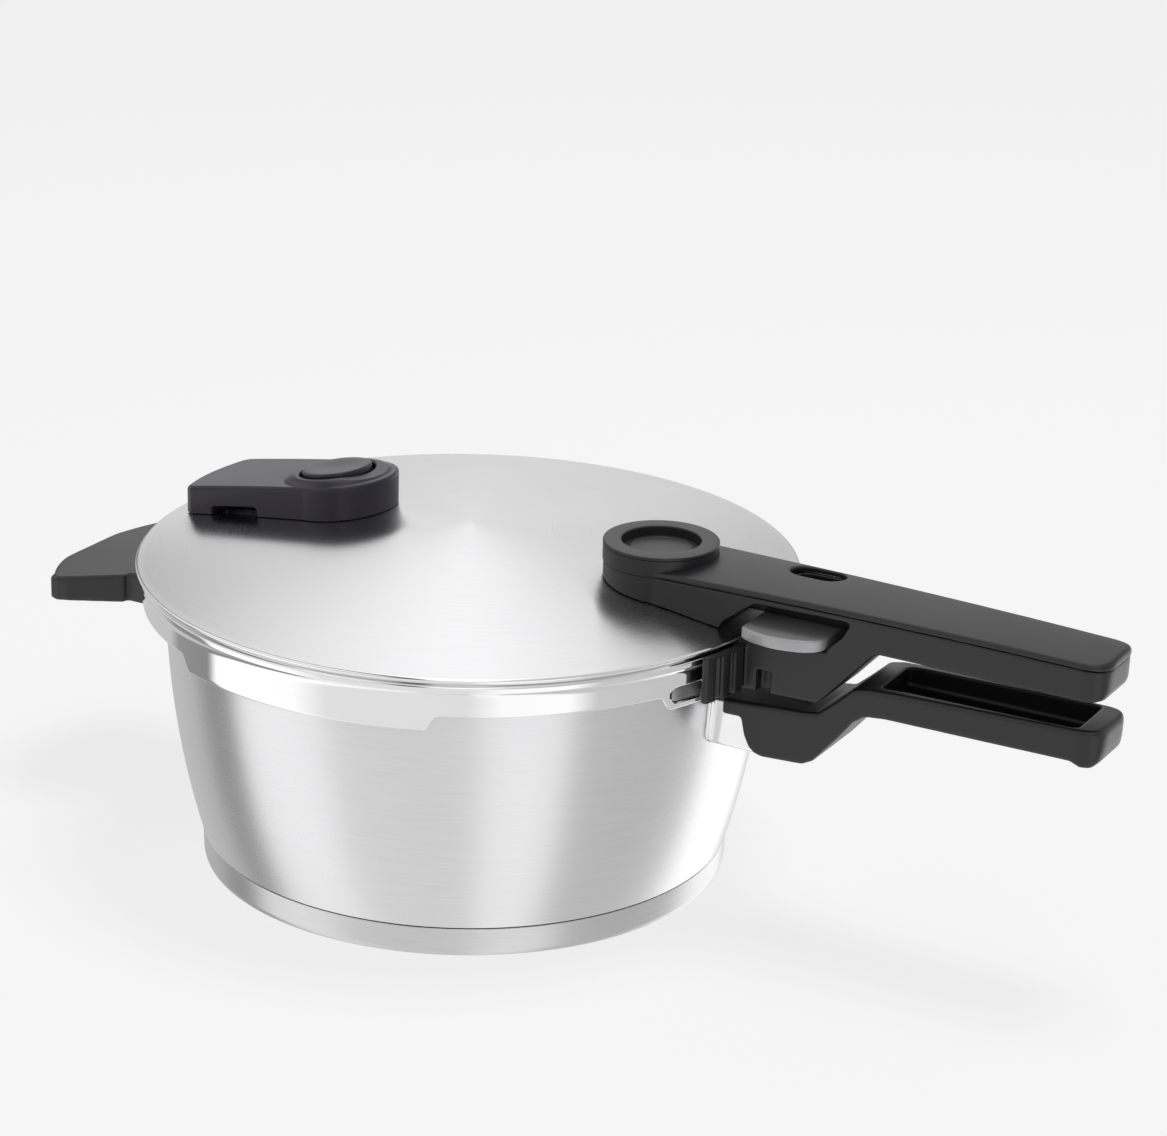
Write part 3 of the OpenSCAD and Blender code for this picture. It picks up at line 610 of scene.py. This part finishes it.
place(make_piece("pot_wall", p, f, [body_steel], sharp=40), "pot", "body_steel", "pot_body")

# %% Capsule base
cup = np.vstack([[[0, 0]], rounded([[base_r - 2.4, 0], [base_r - 0.5, 0.2], [base_r, 2.0],
                                    [base_r + 0.2, base_h], [base_r - 0.8, base_h],
                                    [base_r - 1.0, 2.0], [base_r - 2, 1.2]],
                                   [0, 0.9, 3, 0.3, 0.2, 0.5, 0], 6), [[0, 1.2]]])
p, f = turned(cup, count=400, closed=False)
place(make_piece("capsule_base", p, f, [base_steel], sharp=30), "pot", "base_steel",
      "base_capsule")

# %% Sealing ring: a soft channel that holds the rim, with two lips
z0 = pot_h
ring_profile = rounded([[r_out - 5.2, z0], [skirt_in - 0.6, z0], [skirt_in - 0.6, z0 + 3.5],
                        [skirt_in - 3, z0 + 3.8], [r_out - 4.2, z0 + 4.2], [r_out - 4.2, z0 + 2.9],
                        [r_out + 2.3, z0 + 2.5], [r_out + 2.3, z0 + 1.5], [r_out - 5.2, z0 + 0.9]],
                       [0.4, 0.8, 1.0, 1.0, 0.5, 0.5, 0.3, 0.3, 0.4], 5)
place(make_piece("sealing_ring", *turned(ring_profile, count=240), [silicone_grey], sharp=40),
      "ring", "silicone_grey", "gasket")

# %% [markdown]
# ## The lid's long handle
# Two mouldings, a cover over a shell, taper from a round hub to a rounded end. Both are distance
# fields: the handle's plan and its side view are outlines, and their common solid with a soft
# edge is the bar. The hollows for the key, the bolt and the window are cut from it.

# %% Plans and side views shared by the handles
def taper_plan(x0, w0, x1, w1, r):
    """Outline of a bar seen from above, from half width w0 at x0 to w1 at x1, its far corners
    rounded by r."""
    return rounded([[x0, -w0], [x1, -w1], [x1, w1], [x0, w0]], [0, r, r, 0], 12)


def split_height(x):
    """Height of the joint between cover and shell: level over the lid, then falling with the
    square of the distance."""
    return split_z - 2.6 * (np.maximum(x - lip_r, 0) / (end_x - lip_r)) ** 2


def stadium(x, y, cx, cy, length, r):
    """Signed distance in plan to a round-ended slot along X."""
    return np.hypot(np.maximum(np.abs(x - cx) - (length / 2 - r), 0), y - cy) - r


def window_plan(x, y):
    """Signed distance in plan to the status window."""
    return stadium(x, y, lip_r + 15, 9.7, 21, 6.6)


def cover_field(x, y, z):
    plan = np.minimum(outline_distance(taper_plan(hub_x, 20.4, end_x, 15, 10), x, y),
                      np.hypot(x - hub_x, y) - hub_r + 0.15)
    half = 20.4 - 5.4 * np.clip((x - hub_x) / (end_x - hub_x), 0, 1)
    roof = split_height(x) + 1.9 + 1.5 * (1 - (y / half) ** 2)
    f = both(plan, z - roof, 1.5)
    f = both(f, split_height(x) + 0.2 - z, 0.25)
    f = without(f, window_plan(x, y), 0.6)
    f = without(f, np.hypot(x - hub_x, y) - 13, 0.2)
    return f


cover = moulded("handle_cover", cover_field, [hub_x - 23, -23, 128], [end_x + 1.5, 23, 137.5], 0.5,
                handle_black)
place(cover, "lid", "handle_black", "lid_handle_cover")

# %% Hub: a turned boss with a rim and a recess for the disc
hub = rounded([[12.6, split_z - 0.05], [hub_r, split_z - 0.05], [hub_r, hub_top - 1.35],
               [hub_r - 0.35, hub_top - 1.2], [hub_r, hub_top - 1.05], [hub_r, hub_top],
               [14.5, hub_top], [14.5, hub_top - 4.6], [12.6, hub_top - 4.6]],
              [0, 0, 0.1, 0.05, 0.1, 0.75, 0.6, 0.2, 0], 6)
p, f = turned(hub, count=180)
place(make_piece("hub_boss", p + [hub_x, 0, 0], f, [handle_black], sharp=45), "lid", "handle_black")
disc = rounded([[0.001, hub_top - 4.7], [14.3, hub_top - 4.7], [14.3, hub_top - 3.3],
                [11.9, hub_top - 3.25], [11.6, hub_top - 3.0], [11.2, hub_top - 3.25],
                [0.001, hub_top - 3.1]], [0, 0.2, 0.3, 0.2, 0.2, 0.3, 0], 5)
p, f = turned(disc, count=120)
place(make_piece("hub_badge", p + [hub_x, 0, 0], f, [disc_black], sharp=50), "lid", "disc_black",
      "hub_disc")


# %% Shell under the cover, with the wing round the skirt
RADIANS_PER_DEGREE = 0.01745


def shell_field(x, y, z):
    k = lip_r
    side = rounded([[end_x + 8, split_z + 8], [hub_x - 40, split_z + 8], [hub_x - 40, lid_z - 2],
                    [k - 6, lid_z - 2], [block_x, lid_z - 2], [block_x, block_z],
                    [k + 29.2, block_z], [k + 50.2, beam_z + 0.4], [end_x - 6, beam_z - 1.6],
                    [end_x - 2, beam_z - 0.8], [end_x - 0.6, beam_z + 1.6], [end_x, beam_z + 8],
                    [end_x, split_z]],
                   [0, 0, 0, 0, 0, 1.2, 2.0, 5, 2, 1, 1, 1, 0], 5)
    plan = np.minimum(outline_distance(taper_plan(hub_x, 20.1, end_x - 0.2, 14.8, 9.8), x, y),
                      np.hypot(x - hub_x, y) - hub_r + 0.3)
    f = both(outline_distance(side, x, z), plan, 1.3)
    f = both(f, z - split_height(x) + 0.1, 0.3)
    r = np.hypot(x, y)
    turn = np.degrees(np.arctan2(y, x))
    wing = both(np.maximum(np.abs(r - (k + 1.7)) - 1.3, block_z - z),
                np.maximum(z - (lid_z - 1.8), (np.abs(turn) - 18.3) * k * RADIANS_PER_DEGREE), 0.4)
    f = np.minimum(f, wing)
    f = without(f, np.maximum(r - (k + 0.2), (z - dome(r) - 0.2) * 0.98), 0.3)
    for s in (-1, 1):
        for mid, wide in ((15.3, 1.5), (12.1, 1.7), (8.9, 0.9)):
            groove = np.maximum(np.abs(turn - s * mid) - wide / 2, 0) * k * RADIANS_PER_DEGREE
            f = without(f, np.maximum(groove - 0.01, np.maximum(k + 1.2 - r, z - (lid_z - 3.4))))
    mouth = rounded([[k - 11, key_z - 1], [k - 8.5, key_z + 3.5], [k + 3.5, split_z - 2.4],
                     [k + 41, split_z - 2.2], [k + 37.5, key_z + 6.2], [k + 32, key_z + 1],
                     [k + 32, key_z - 0.3], [k + 1, key_z - 0.3], [k + 1, key_z - 1]],
                    [1, 1, 1.5, 1.5, 2, 1, 0.3, 0, 0], 4)
    room = outline_distance(mouth, x, z) + 0 * y
    room = np.where(np.abs(y) < 5.5, np.maximum(room, z - (key_z + key_t + 0.3)), room)
    f = without(f, room, 0.5)
    chute = window_plan(x, y) - 1.2
    chute = np.maximum(np.maximum(chute, key_z + key_t + 1.2 - z), z - split_height(x) + 0.1)
    f = np.minimum(f, chute)
    for s in (-1, 1):
        f = without(f, box_distance(x, y, z, [k + 5.5, 14 if s > 0 else -40, 80],
                                    [k + 11, 40 if s > 0 else -14, block_z + 8.6], 0.4), 0.3)
    f = without(f, box_distance(x, y, z, [block_x + 2.4, -9.5, block_z + 3],
                                [k + 28, 9.5, key_z], 0.5))
    f = without(f, box_distance(x, y, z, [k + 10.2, -4.3, 80], [k + 18.8, 4.3, block_z + 4], 0.3))
    f = without(f, np.maximum(window_plan(x, y), key_z + key_t + 1 - z))
    return f


shell = moulded("handle_shell", shell_field, [hub_x - 23, -42, 95.5], [end_x + 1.5, 42, 135], 0.6,
                handle_black)
place(shell, "lid", "handle_black", "lid_handle_base")


# %% Release key: a flat plate whose two ears stand out of the shell
def eased(points, n=8):
    """Points along a Catmull-Rom curve: each span is the cubic whose end slopes are half the
    chord between the points on either side."""
    p = np.asarray(points, float)
    q = np.vstack([2 * p[0] - p[1], p, 2 * p[-1] - p[-2]])
    t = np.linspace(0, 1, n, endpoint=False)[:, None]
    out = [0.5 * (2 * b + (c - a) * t + (2 * a - 5 * b + 4 * c - d) * t ** 2
                  + (3 * b - a - 3 * c + d) * t ** 3)
           for a, b, c, d in zip(q[:-3], q[1:-2], q[2:-1], q[3:])]
    return np.vstack(out + [p[-1:]]).tolist()


def key_field(x, y, z):
    k, w = lip_r, 20
    front = [[k + 0.6, w + 2], [k + 4.5, w + 4.2], [k + 10, w + 5.6], [k + 16, w + 6],
             [k + 22, w + 5], [k + 27, w + 3], [k + 30.4, w - 0.4], [k + 31.4, w - 4],
             [k + 31.4, 7]]
    front = eased(front[:-1]) + [front[-1]]
    ring = np.array([[k + 0.6, 7]] + front + [[a, -b] for a, b in front[::-1]] + [[k + 0.6, -7]])
    plan = outline_distance(ring, x, y)
    f = both(plan, np.abs(z - key_z - key_t / 2) - key_t / 2, 0.7)
    f = np.minimum(f, box_distance(x, y, z, [k + 3.4, -2.9, key_z + key_t - 1],
                                   [k + 6.8, 2.9, key_z + key_t + 6], 0.4))
    f = np.minimum(f, box_distance(x, y, z, [k + 10.4, 5, block_z + 4],
                                   [k + 27, 8, key_z + 1], 0.4))
    slope, run, climb = 0.8, 0.781, 0.625
    rise = (x - k - 14.5) * slope + block_z + 10
    along = (x - k - 14.5) * run + (z - block_z - 10) * climb
    off = (z - rise) * run
    slot = np.hypot(np.maximum(np.maximum(-along, along - 7.68), 0), off) - 2.15
    return without(f, np.maximum(slot, np.abs(y - 6.5) - 2.5))


key = moulded("key_plate", key_field, [lip_r - 1, -28, 99], [lip_r + 33, 28, 130], 0.45, key_silver)
place(key, "key", "key_silver", "release_key")

# %% [markdown]
# ## The pot's handles and its bracket
# The lower handle lies under the lid's and carries a foot at its end. Its root wraps a polished
# steel bracket that is welded to the wall. The helper handle opposite is a curved grip plate.


# %% Lower long handle
def lower_handle_field(x, y, z):
    k = lip_r
    side = rounded([[k - 7.5, deck_z - 7], [k - 0.3, deck_z - 7], [k + 1.2, belly_z + 7],
                    [k + 3.2, belly_z + 2.8], [k + 5.6, belly_z + 0.8], [k + 8.4, belly_z],
                    [k + 24.3, belly_z + 0.6], [k + 28.3, belly_z + 2.6],
                    [k + 37.5, belly_z + 13.3],
                    [k + 43, belly_z + 20.5], [k + 47.5, belly_z + 23.6], [k + 55, belly_z + 24.2],
                    [end_x - 11.5, belly_z + 23.4], [end_x - 8, belly_z + 21.8],
                    [end_x - 4.2, belly_z + 21.8], [end_x - 1.8, belly_z + 24],
                    [end_x - 0.6, belly_z + 28.5], [end_x, grip_z - 1], [end_x - 2, grip_z + 1],
                    [k + 60, grip_z + 0.2], [k + 48, grip_z - 0.4], [k + 42.4, grip_z - 1.6],
                    [k + 34.8, deck_z + 5.5], [k + 29.2, deck_z + 0.8], [k + 23.3, deck_z],
                    [k - 7.5, deck_z - 1]],
                   [1, 1, 3, 3, 3, 3, 3, 3, 3, 4, 4, 4, 2.5, 2.5, 3, 3, 3, 1.5, 1.5,
                    4, 4, 4, 4, 4, 4, 1], 5)
    plan = outline_distance(taper_plan(k - 20, 19.2, end_x - 0.4, 14, 9.5), x, y)
    f = both(outline_distance(side, x, z), plan, 1.6)
    f = without(f, box_distance(x, y, z, [0, -16.6, 0], [131.4, 16.6, 90.7], 0.3))
    f = without(f, box_distance(x, y, z, [k + 9.5, -5, deck_z - 3], [k + 19.5, 5, 200], 0.3), 0.5)
    f = without(f, box_distance(x, y, z, [k + 51, -12, belly_z + 26.4], [end_x - 10, 12, 200], 2.5),
                0.5)
    return without(f, np.maximum(np.hypot(x - k - 16.5, y) - 4.9, z - belly_z - 4), 0.4)


lower = moulded("lower_handle", lower_handle_field, [lip_r - 9, -21, belly_z - 1.2],
                [end_x + 1.2, 21, grip_z + 2.5], 0.6, handle_black)
place(lower, "pot", "handle_black", "pot_handle")


# %% Bracket: a polished box on a flange that follows the wall
def bracket_field(x, y, z):
    low, top_ = belly_z + 0.3, pot_h - 21.5
    r = np.hypot(x, y)
    wall = r - wall_r(z)
    side = rounded([[lip_r - 30, low], [131.2, low], [131.2, top_], [lip_r - 30, top_]],
                   [0, 1.5, 0.3, 0], 5)
    box = both(outline_distance(side, x, z), np.abs(y) - 16.4, 1.0)
    hollow = np.maximum(np.abs(y) - 14.9, low + 1.5 - z)
    f = without(box, hollow)
    corner = rounded([[-19.2, low + 1.2], [19.2, low + 1.2], [19.2, top_], [-19.2, top_]],
                     [4, 4, 0.4, 0.4], 8)
    flange = both(outline_distance(corner, y, z), wall - 1.3, 0.6)
    flange = np.maximum(flange, -x)
    f = np.minimum(both(f, -(r - 109), 0), flange)
    f = np.minimum(f, box_distance(x, y, z, [100, -9, belly_z + 8],
                                   [lip_r + 27, 9, belly_z + 10.5]))
    f = np.maximum(f, -(wall - 0.02))
    return np.maximum(f, -(np.hypot(x - lip_r - 16.5, y) - 2.7))


bracket = moulded("wall_bracket", bracket_field, [105, -21, belly_z - 1], [lip_r + 28, 21, 92], 0.5,
                  polished_steel)
place(bracket, "pot", "polished_steel", "pot_bracket")


# %% Helper handle
def helper_field(x, y, z):
    edge_, w, top_, end_r = -node_box("helper_handle")[0][0], 42.6, helper_z, 63
    sag = end_r - math.sqrt(end_r ** 2 - (w - 6) ** 2)
    drop = 0.15 * (edge_ - lip_r)
    bow = np.linspace(-(w - 6), w - 6, 25)
    plan = np.vstack([[[-r_out + 20, -w + 9], [-lip_r - 9, -w + 9], [-lip_r - 9.4, -w + 6.6],
                       [-edge_ + sag + 10, -w + 0.6], [-edge_ + sag + 5, -w],
                       [-edge_ + sag + 1.4, -w + 1.8]],
                      np.stack([end_r - edge_ - np.sqrt(end_r ** 2 - bow ** 2), bow], -1),
                      [[-edge_ + sag + 1.4, w - 1.8], [-edge_ + sag + 5, w],
                       [-edge_ + sag + 10, w - 0.6],
                       [-lip_r - 9.4, w - 6.6], [-lip_r - 9, w - 9], [-r_out + 20, w - 9]]])
    side = rounded([[-r_out + 20, top_], [-lip_r + 2, top_], [-edge_ + 3, top_ - drop],
                    [-edge_ - 1, top_ - drop - 2.4], [-edge_ - 1, top_ - drop - 6],
                    [-edge_ + 5, top_ - drop - 8.6],
                    [-lip_r - 9, top_ - 13], [-r_out + 20, top_ - 13]],
                   [0, 4, 3, 1.5, 1.5, 3, 6, 0], 6)
    f = both(outline_distance(rounded(plan, 1.2, 4), x, y), outline_distance(side, x, z), 1.2)
    f = np.maximum(f, -(np.hypot(x, y) - wall_r(z) - 2.2))
    f = np.maximum(f, -box_distance(x, y, z, [-lip_r - 9.3, -14.3, helper_z - 8.2],
                                    [0, 14.3, helper_z - 5.4]))
    for s in (-1, 1):
        off = np.hypot(x + lip_r + 1.5, y - 9 * s)
        f = np.maximum(f, -np.maximum(off - 4, z - helper_z + 11.4))
        f = np.maximum(f, -np.maximum(off - 2.1, z - helper_z + 2))
    return f


helper = moulded("helper_grip", helper_field, [-lip_r - 55.2, -44, 75.5], [-90, 44, 97], 0.65,
                 handle_black)
place(helper, "pot", "handle_black", "helper_handle")

# %% [markdown]
# ## The pressure valve
# The housing leans outward with the dome. Its crowned top carries a raised ring, and in the
# ring the button stands, dished for a finger. The steam leaves through a slot low on one side.


# %% Valve housing
def on_valve(points):
    """From the valve's own frame to the object's: a turn about Y and a move to its axis."""
    c, s = math.cos(valve_tilt), math.sin(valve_tilt)
    x, y, z = np.asarray(points).T
    return np.stack([x * c - z * s - valve_x, y, x * s + z * c + valve_z], -1)


H_END, H_W, H_TOP = lip_r - 6.3, 21.0, 11.8


def housing_field(x, y, z):
    c, s = math.cos(valve_tilt), math.sin(valve_tilt)
    u = (x + valve_x) * c + (z - valve_z) * s
    v = -(x + valve_x) * s + (z - valve_z) * c
    cx = 60 - H_END
    half_turn = math.asin(18 / 57)
    bow = np.linspace(-half_turn, half_turn, 9)
    corner_x = cx - 57 * math.cos(half_turn)
    plan = np.vstack([[[-valve_x, -H_W], [corner_x, -H_W]],
                      np.stack([cx - 60 * np.cos(bow), 60 * np.sin(bow)], -1),
                      [[corner_x, H_W], [-valve_x, H_W]]])
    outline = np.minimum(outline_distance(plan, x, y), np.hypot(x + valve_x, y) - 21.4)
    mid = (H_END - valve_x) / 2
    roof = H_TOP + 1.0 * (1 - ((u + mid) / (mid + 24)) ** 2)
    f = both(outline, v - roof, 1.3)
    r = np.hypot(u, y)
    ring = both(r - 20.6, v - (H_TOP + 2.6 - 0.07 * np.maximum(r - 15.2, 0) ** 2), 1.0)
    f = either(f, np.maximum(ring, 4 - v), 0.8)
    f = without(f, np.maximum(r - 14.6, 8.4 - v), 0.5)
    f = without(f, np.maximum(r - 13.7, 2 - v))
    slot = box_distance(u, y, v, [-46.3, -60, -8], [-25.2, -12, 4.9], 1.6)
    f = without(f, slot, 0.4)
    rr = np.hypot(x, y)
    return np.maximum(f, -(z - dome(rr) - 0.2))


housing = moulded("valve_hood", housing_field, [-lip_r + 4, -23, 116], [-33, 23, 142.5], 0.45,
                  valve_black)
place(housing, "lid", "valve_black", "valve_housing")

# %% Button and indicator sleeve
B_TOP = H_TOP + 3.9
r_top = np.linspace(0, 10.5, 14)
button = np.vstack([[[0, 8.4], [13.4, 8.4]],
                    rounded([[13.4, 9.4], [13.4, B_TOP - 0.1], [11.6, B_TOP]], [0, 1.3, 0], 7),
                    np.stack([r_top[::-1], B_TOP - 0.7 * smooth(1 - r_top[::-1] / 12)], -1)])
p, f = turned(button, count=144, closed=False)
place(make_piece("press_button", on_valve(p), f, [valve_black], sharp=45), "valve", "valve_black",
      "valve_button")
sleeve = rounded([[10.9, 2.6], [12.9, 2.6], [12.9, 3.6], [12.5, 3.6], [12.5, 4.5], [12.9, 4.5],
                  [12.9, 6.6], [12.5, 6.6], [12.5, 7.5], [12.9, 7.5], [12.9, 8.38], [4.1, 8.38],
                  [4.1, 6.7], [10.9, 6.7]], 0.12, 3)
p, f = turned(sleeve, count=120)
place(make_piece("ring_sleeve", on_valve(p), f, [sleeve_white], sharp=40), "valve", "sleeve_white",
      "indicator_sleeve")

# %% [markdown]
# ## Springs
# A round wire follows a helix. The valve's spring and the key's are each made at one fixed length
# and ride on the lid.


# %% Coils
def coil(radius, wire, length, turns):
    """A wire of that radius round the helix (radius cos t, radius sin t, length t / all turns);
    each ring of the wire lies in the plane of its own angle t."""
    t = np.linspace(0, 2 * math.pi * turns, 20 * turns)[:, None]
    u = np.linspace(0, 2 * math.pi, 8, endpoint=False)[None, :]
    r = radius + wire * np.cos(u)
    z = length * t / t[-1] + wire * np.sin(u)
    p = np.stack([r * np.cos(t), r * np.sin(t), z], -1).reshape(-1, 3)
    n = len(t)
    ends = [list(range(8))[::-1], list(range(8 * (n - 1), 8 * n))]
    return p, grid_faces(n, 8, False, True).tolist() + ends


WIRE, KEY_COIL_UP = 0.45, 3.2
p, f = coil(5.5, WIRE, 9.1, 5)
spring = place(make_piece("valve_coil", on_valve(p + [0, 0, -10.95]), f, [spring_steel]),
               "lid", "spring_steel", "valve_spring")
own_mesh(spring)
p, f = coil(2.4, WIRE, 19.3, 7)
p = np.stack([p[:, 2] + lip_r - 16.55, p[:, 1], p[:, 0] + key_z + key_t + KEY_COIL_UP], -1)
spring = place(make_piece("key_coil", p, f, [spring_steel]), "lid", "spring_steel", "key_spring")
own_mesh(spring)

# %% [markdown]
# ## Studio
# A pale floor, mostly lit by itself, and a pale room. The floor is hidden from reflections, so
# that the pot's wall shows the room instead. Steel shows the room more than itself, so the room
# is painted in the world shader as brightness by direction: bands round the horizon, which
# become the upright bands on the wall, and a bright overhead, which fills the dome.

# %% Floor, room and lamps
floor = make_piece("floor", np.array([[-6000, -6000, 0], [6000, -6000, 0], [6000, 6000, 0],
                                      [-6000, 6000, 0]], float), [[0, 1, 2, 3]], [])
paper = bpy.data.materials.new("paper")
paper.use_nodes = True
sheet = paper.node_tree.nodes["Principled BSDF"]
for socket, value in (("Base Color", (0.35, 0.35, 0.35, 1)), ("Roughness", 1.0),
                      ("Specular IOR Level", 0.0), ("Emission Color", (1, 1, 1, 1)),
                      ("Emission Strength", 0.715)):
    sheet.inputs[socket].default_value = value
floor.data.materials.append(paper)
floor.visible_glossy = False

CAM_TURN = math.radians(30.5)
world = bpy.data.worlds.new("room")
bpy.context.scene.world = world
world.use_nodes = True
t = world.node_tree
bg = t.nodes["Background"]
way = t.nodes.new("ShaderNodeTexCoord")
xyz = t.nodes.new("ShaderNodeSeparateXYZ")
t.links.new(way.outputs["Generated"], xyz.inputs[0])
turn = maths(t, "ARCTAN2", xyz.outputs[1], xyz.outputs[0])
turn = maths(t, "WRAP", maths(t, "SUBTRACT", turn, CAM_TURN - math.pi / 2), math.pi, -math.pi)
bands = t.nodes.new("ShaderNodeValToRGB")
t.links.new(maths(t, "MULTIPLY_ADD", turn, 0.5 / math.pi, 0.5), bands.inputs[0])


def set_ramp(node, stops):
    """Fills a colour ramp with (position, brightness) stops."""
    e = node.color_ramp.elements
    while len(e) > 1:
        e.remove(e[-1])
    e[0].position, e[0].color = stops[0][0], (stops[0][1],) * 3 + (1,)
    for pos, v in stops[1:]:
        n = e.new(pos)
        n.color = (v, v, v, 1)


# Turn from the camera in degrees, and brightness
set_ramp(bands, [((d + 180) / 360, v) for d, v in (
    (-180, 0.62), (-128, 0.6), (-121, 0.32), (-102, 0.28), (-98, 1.2), (-62, 1.15), (-50, 0.86),
    (0, 0.84), (12, 1.12), (36, 1.15), (46, 0.66), (86, 0.6), (104, 0.7), (114, 1.45), (150, 1.45),
    (158, 0.7))])
side = maths(t, "ADD", maths(t, "MULTIPLY", xyz.outputs[0], math.cos(CAM_TURN)),
             maths(t, "MULTIPLY", xyz.outputs[1], math.sin(CAM_TURN)))
over = t.nodes.new("ShaderNodeValToRGB")
t.links.new(maths(t, "MULTIPLY_ADD", side, 0.5, 0.5), over.inputs[0])
set_ramp(over, [(v / 2 + 0.5, b) for v, b in (
    (-1, 0.8), (-0.5, 0.75), (-0.42, 0.6), (-0.36, 0.15), (-0.25, 0.15), (-0.18, 0.95), (0, 1.05),
    (0.1, 0.95), (0.22, 0.55), (0.5, 0.45), (1, 0.7))])
rise = t.nodes.new("ShaderNodeValToRGB")
t.links.new(xyz.outputs[2], rise.inputs[0])
set_ramp(rise, [(0.0, 0.75), (0.25, 0.92), (0.41, 1.08), (0.62, 1.35)])
sky = maths(t, "MULTIPLY", over.outputs[0], rise.outputs[0])
up = t.nodes.new("ShaderNodeMapRange")
up.interpolation_type = "SMOOTHSTEP"
up.inputs["From Min"].default_value, up.inputs["From Max"].default_value = -0.12, 0.16
t.links.new(xyz.outputs[2], up.inputs[0])
mix = t.nodes.new("ShaderNodeMix")
mix.data_type = "RGBA"
t.links.new(up.outputs[0], mix.inputs["Factor"])
t.links.new(bands.outputs[0], mix.inputs[6])
t.links.new(sky, mix.inputs[7])
rays = t.nodes.new("ShaderNodeLightPath")
seen = t.nodes.new("ShaderNodeMix")
seen.data_type = "RGBA"
t.links.new(maths(t, "MAXIMUM", rays.outputs["Is Camera Ray"], rays.outputs["Is Diffuse Ray"]),
            seen.inputs["Factor"])
t.links.new(mix.outputs[2], seen.inputs[6])
BACKDROP, FILL = 0.913, 0.35  # what the camera sees, and what lights the matt surfaces
flat = maths(t, "MULTIPLY_ADD", rays.outputs["Is Camera Ray"], BACKDROP - FILL, FILL)
t.links.new(flat, seen.inputs[7])
t.links.new(seen.outputs[2], bg.inputs["Color"])


def softbox(name, at, look, size, watts):
    """A rectangular lamp at a point in metres, aimed at another."""
    data = bpy.data.lights.new(name, "AREA")
    data.shape, data.size, data.size_y, data.energy = "RECTANGLE", size[0], size[1], watts
    obj = bpy.data.objects.new(name, data)
    obj.matrix_world = Matrix.Translation(at) @ (Vector(look) - Vector(at)).to_track_quat(
        "-Z", "Y").to_matrix().to_4x4()
    bpy.context.scene.collection.objects.link(obj)
    return obj


overhead = softbox("overhead", (0.35, 0.2, 1.9), (0, 0, 0.05), (0.7, 0.7), 9)
overhead.visible_glossy = False

# %% [markdown]
# ## Camera
# A long lens from a little above the lid, turned a third of the way from the front.

# %% Camera
far, lift, roll = 1.3824, math.radians(24.4), math.radians(1.65)
cam_data = bpy.data.cameras.new("camera")
cam_data.sensor_width, cam_data.lens = 36.0, 109.93
camera = bpy.data.objects.new("camera", cam_data)
bpy.context.scene.collection.objects.link(camera)
eye = Vector((far * math.sin(CAM_TURN) * math.cos(lift), -far * math.cos(CAM_TURN) * math.cos(lift),
              far * math.sin(lift)))
aim_side, aim_z = 0.0429, 0.1134
aim = Vector((aim_side * math.cos(CAM_TURN), aim_side * math.sin(CAM_TURN), aim_z))
ahead = (aim - eye).normalized()
right = ahead.cross(Vector((0, 0, 1))).normalized()
upward = right.cross(ahead)
r2 = right * math.cos(roll) + upward * math.sin(roll)
u2 = upward * math.cos(roll) - right * math.sin(roll)
camera.matrix_world = Matrix(((r2.x, u2.x, -ahead.x, eye.x), (r2.y, u2.y, -ahead.y, eye.y),
                              (r2.z, u2.z, -ahead.z, eye.z), (0, 0, 0, 1)))
bpy.context.scene.camera = camera
bpy.context.scene.view_settings.view_transform = "Standard"
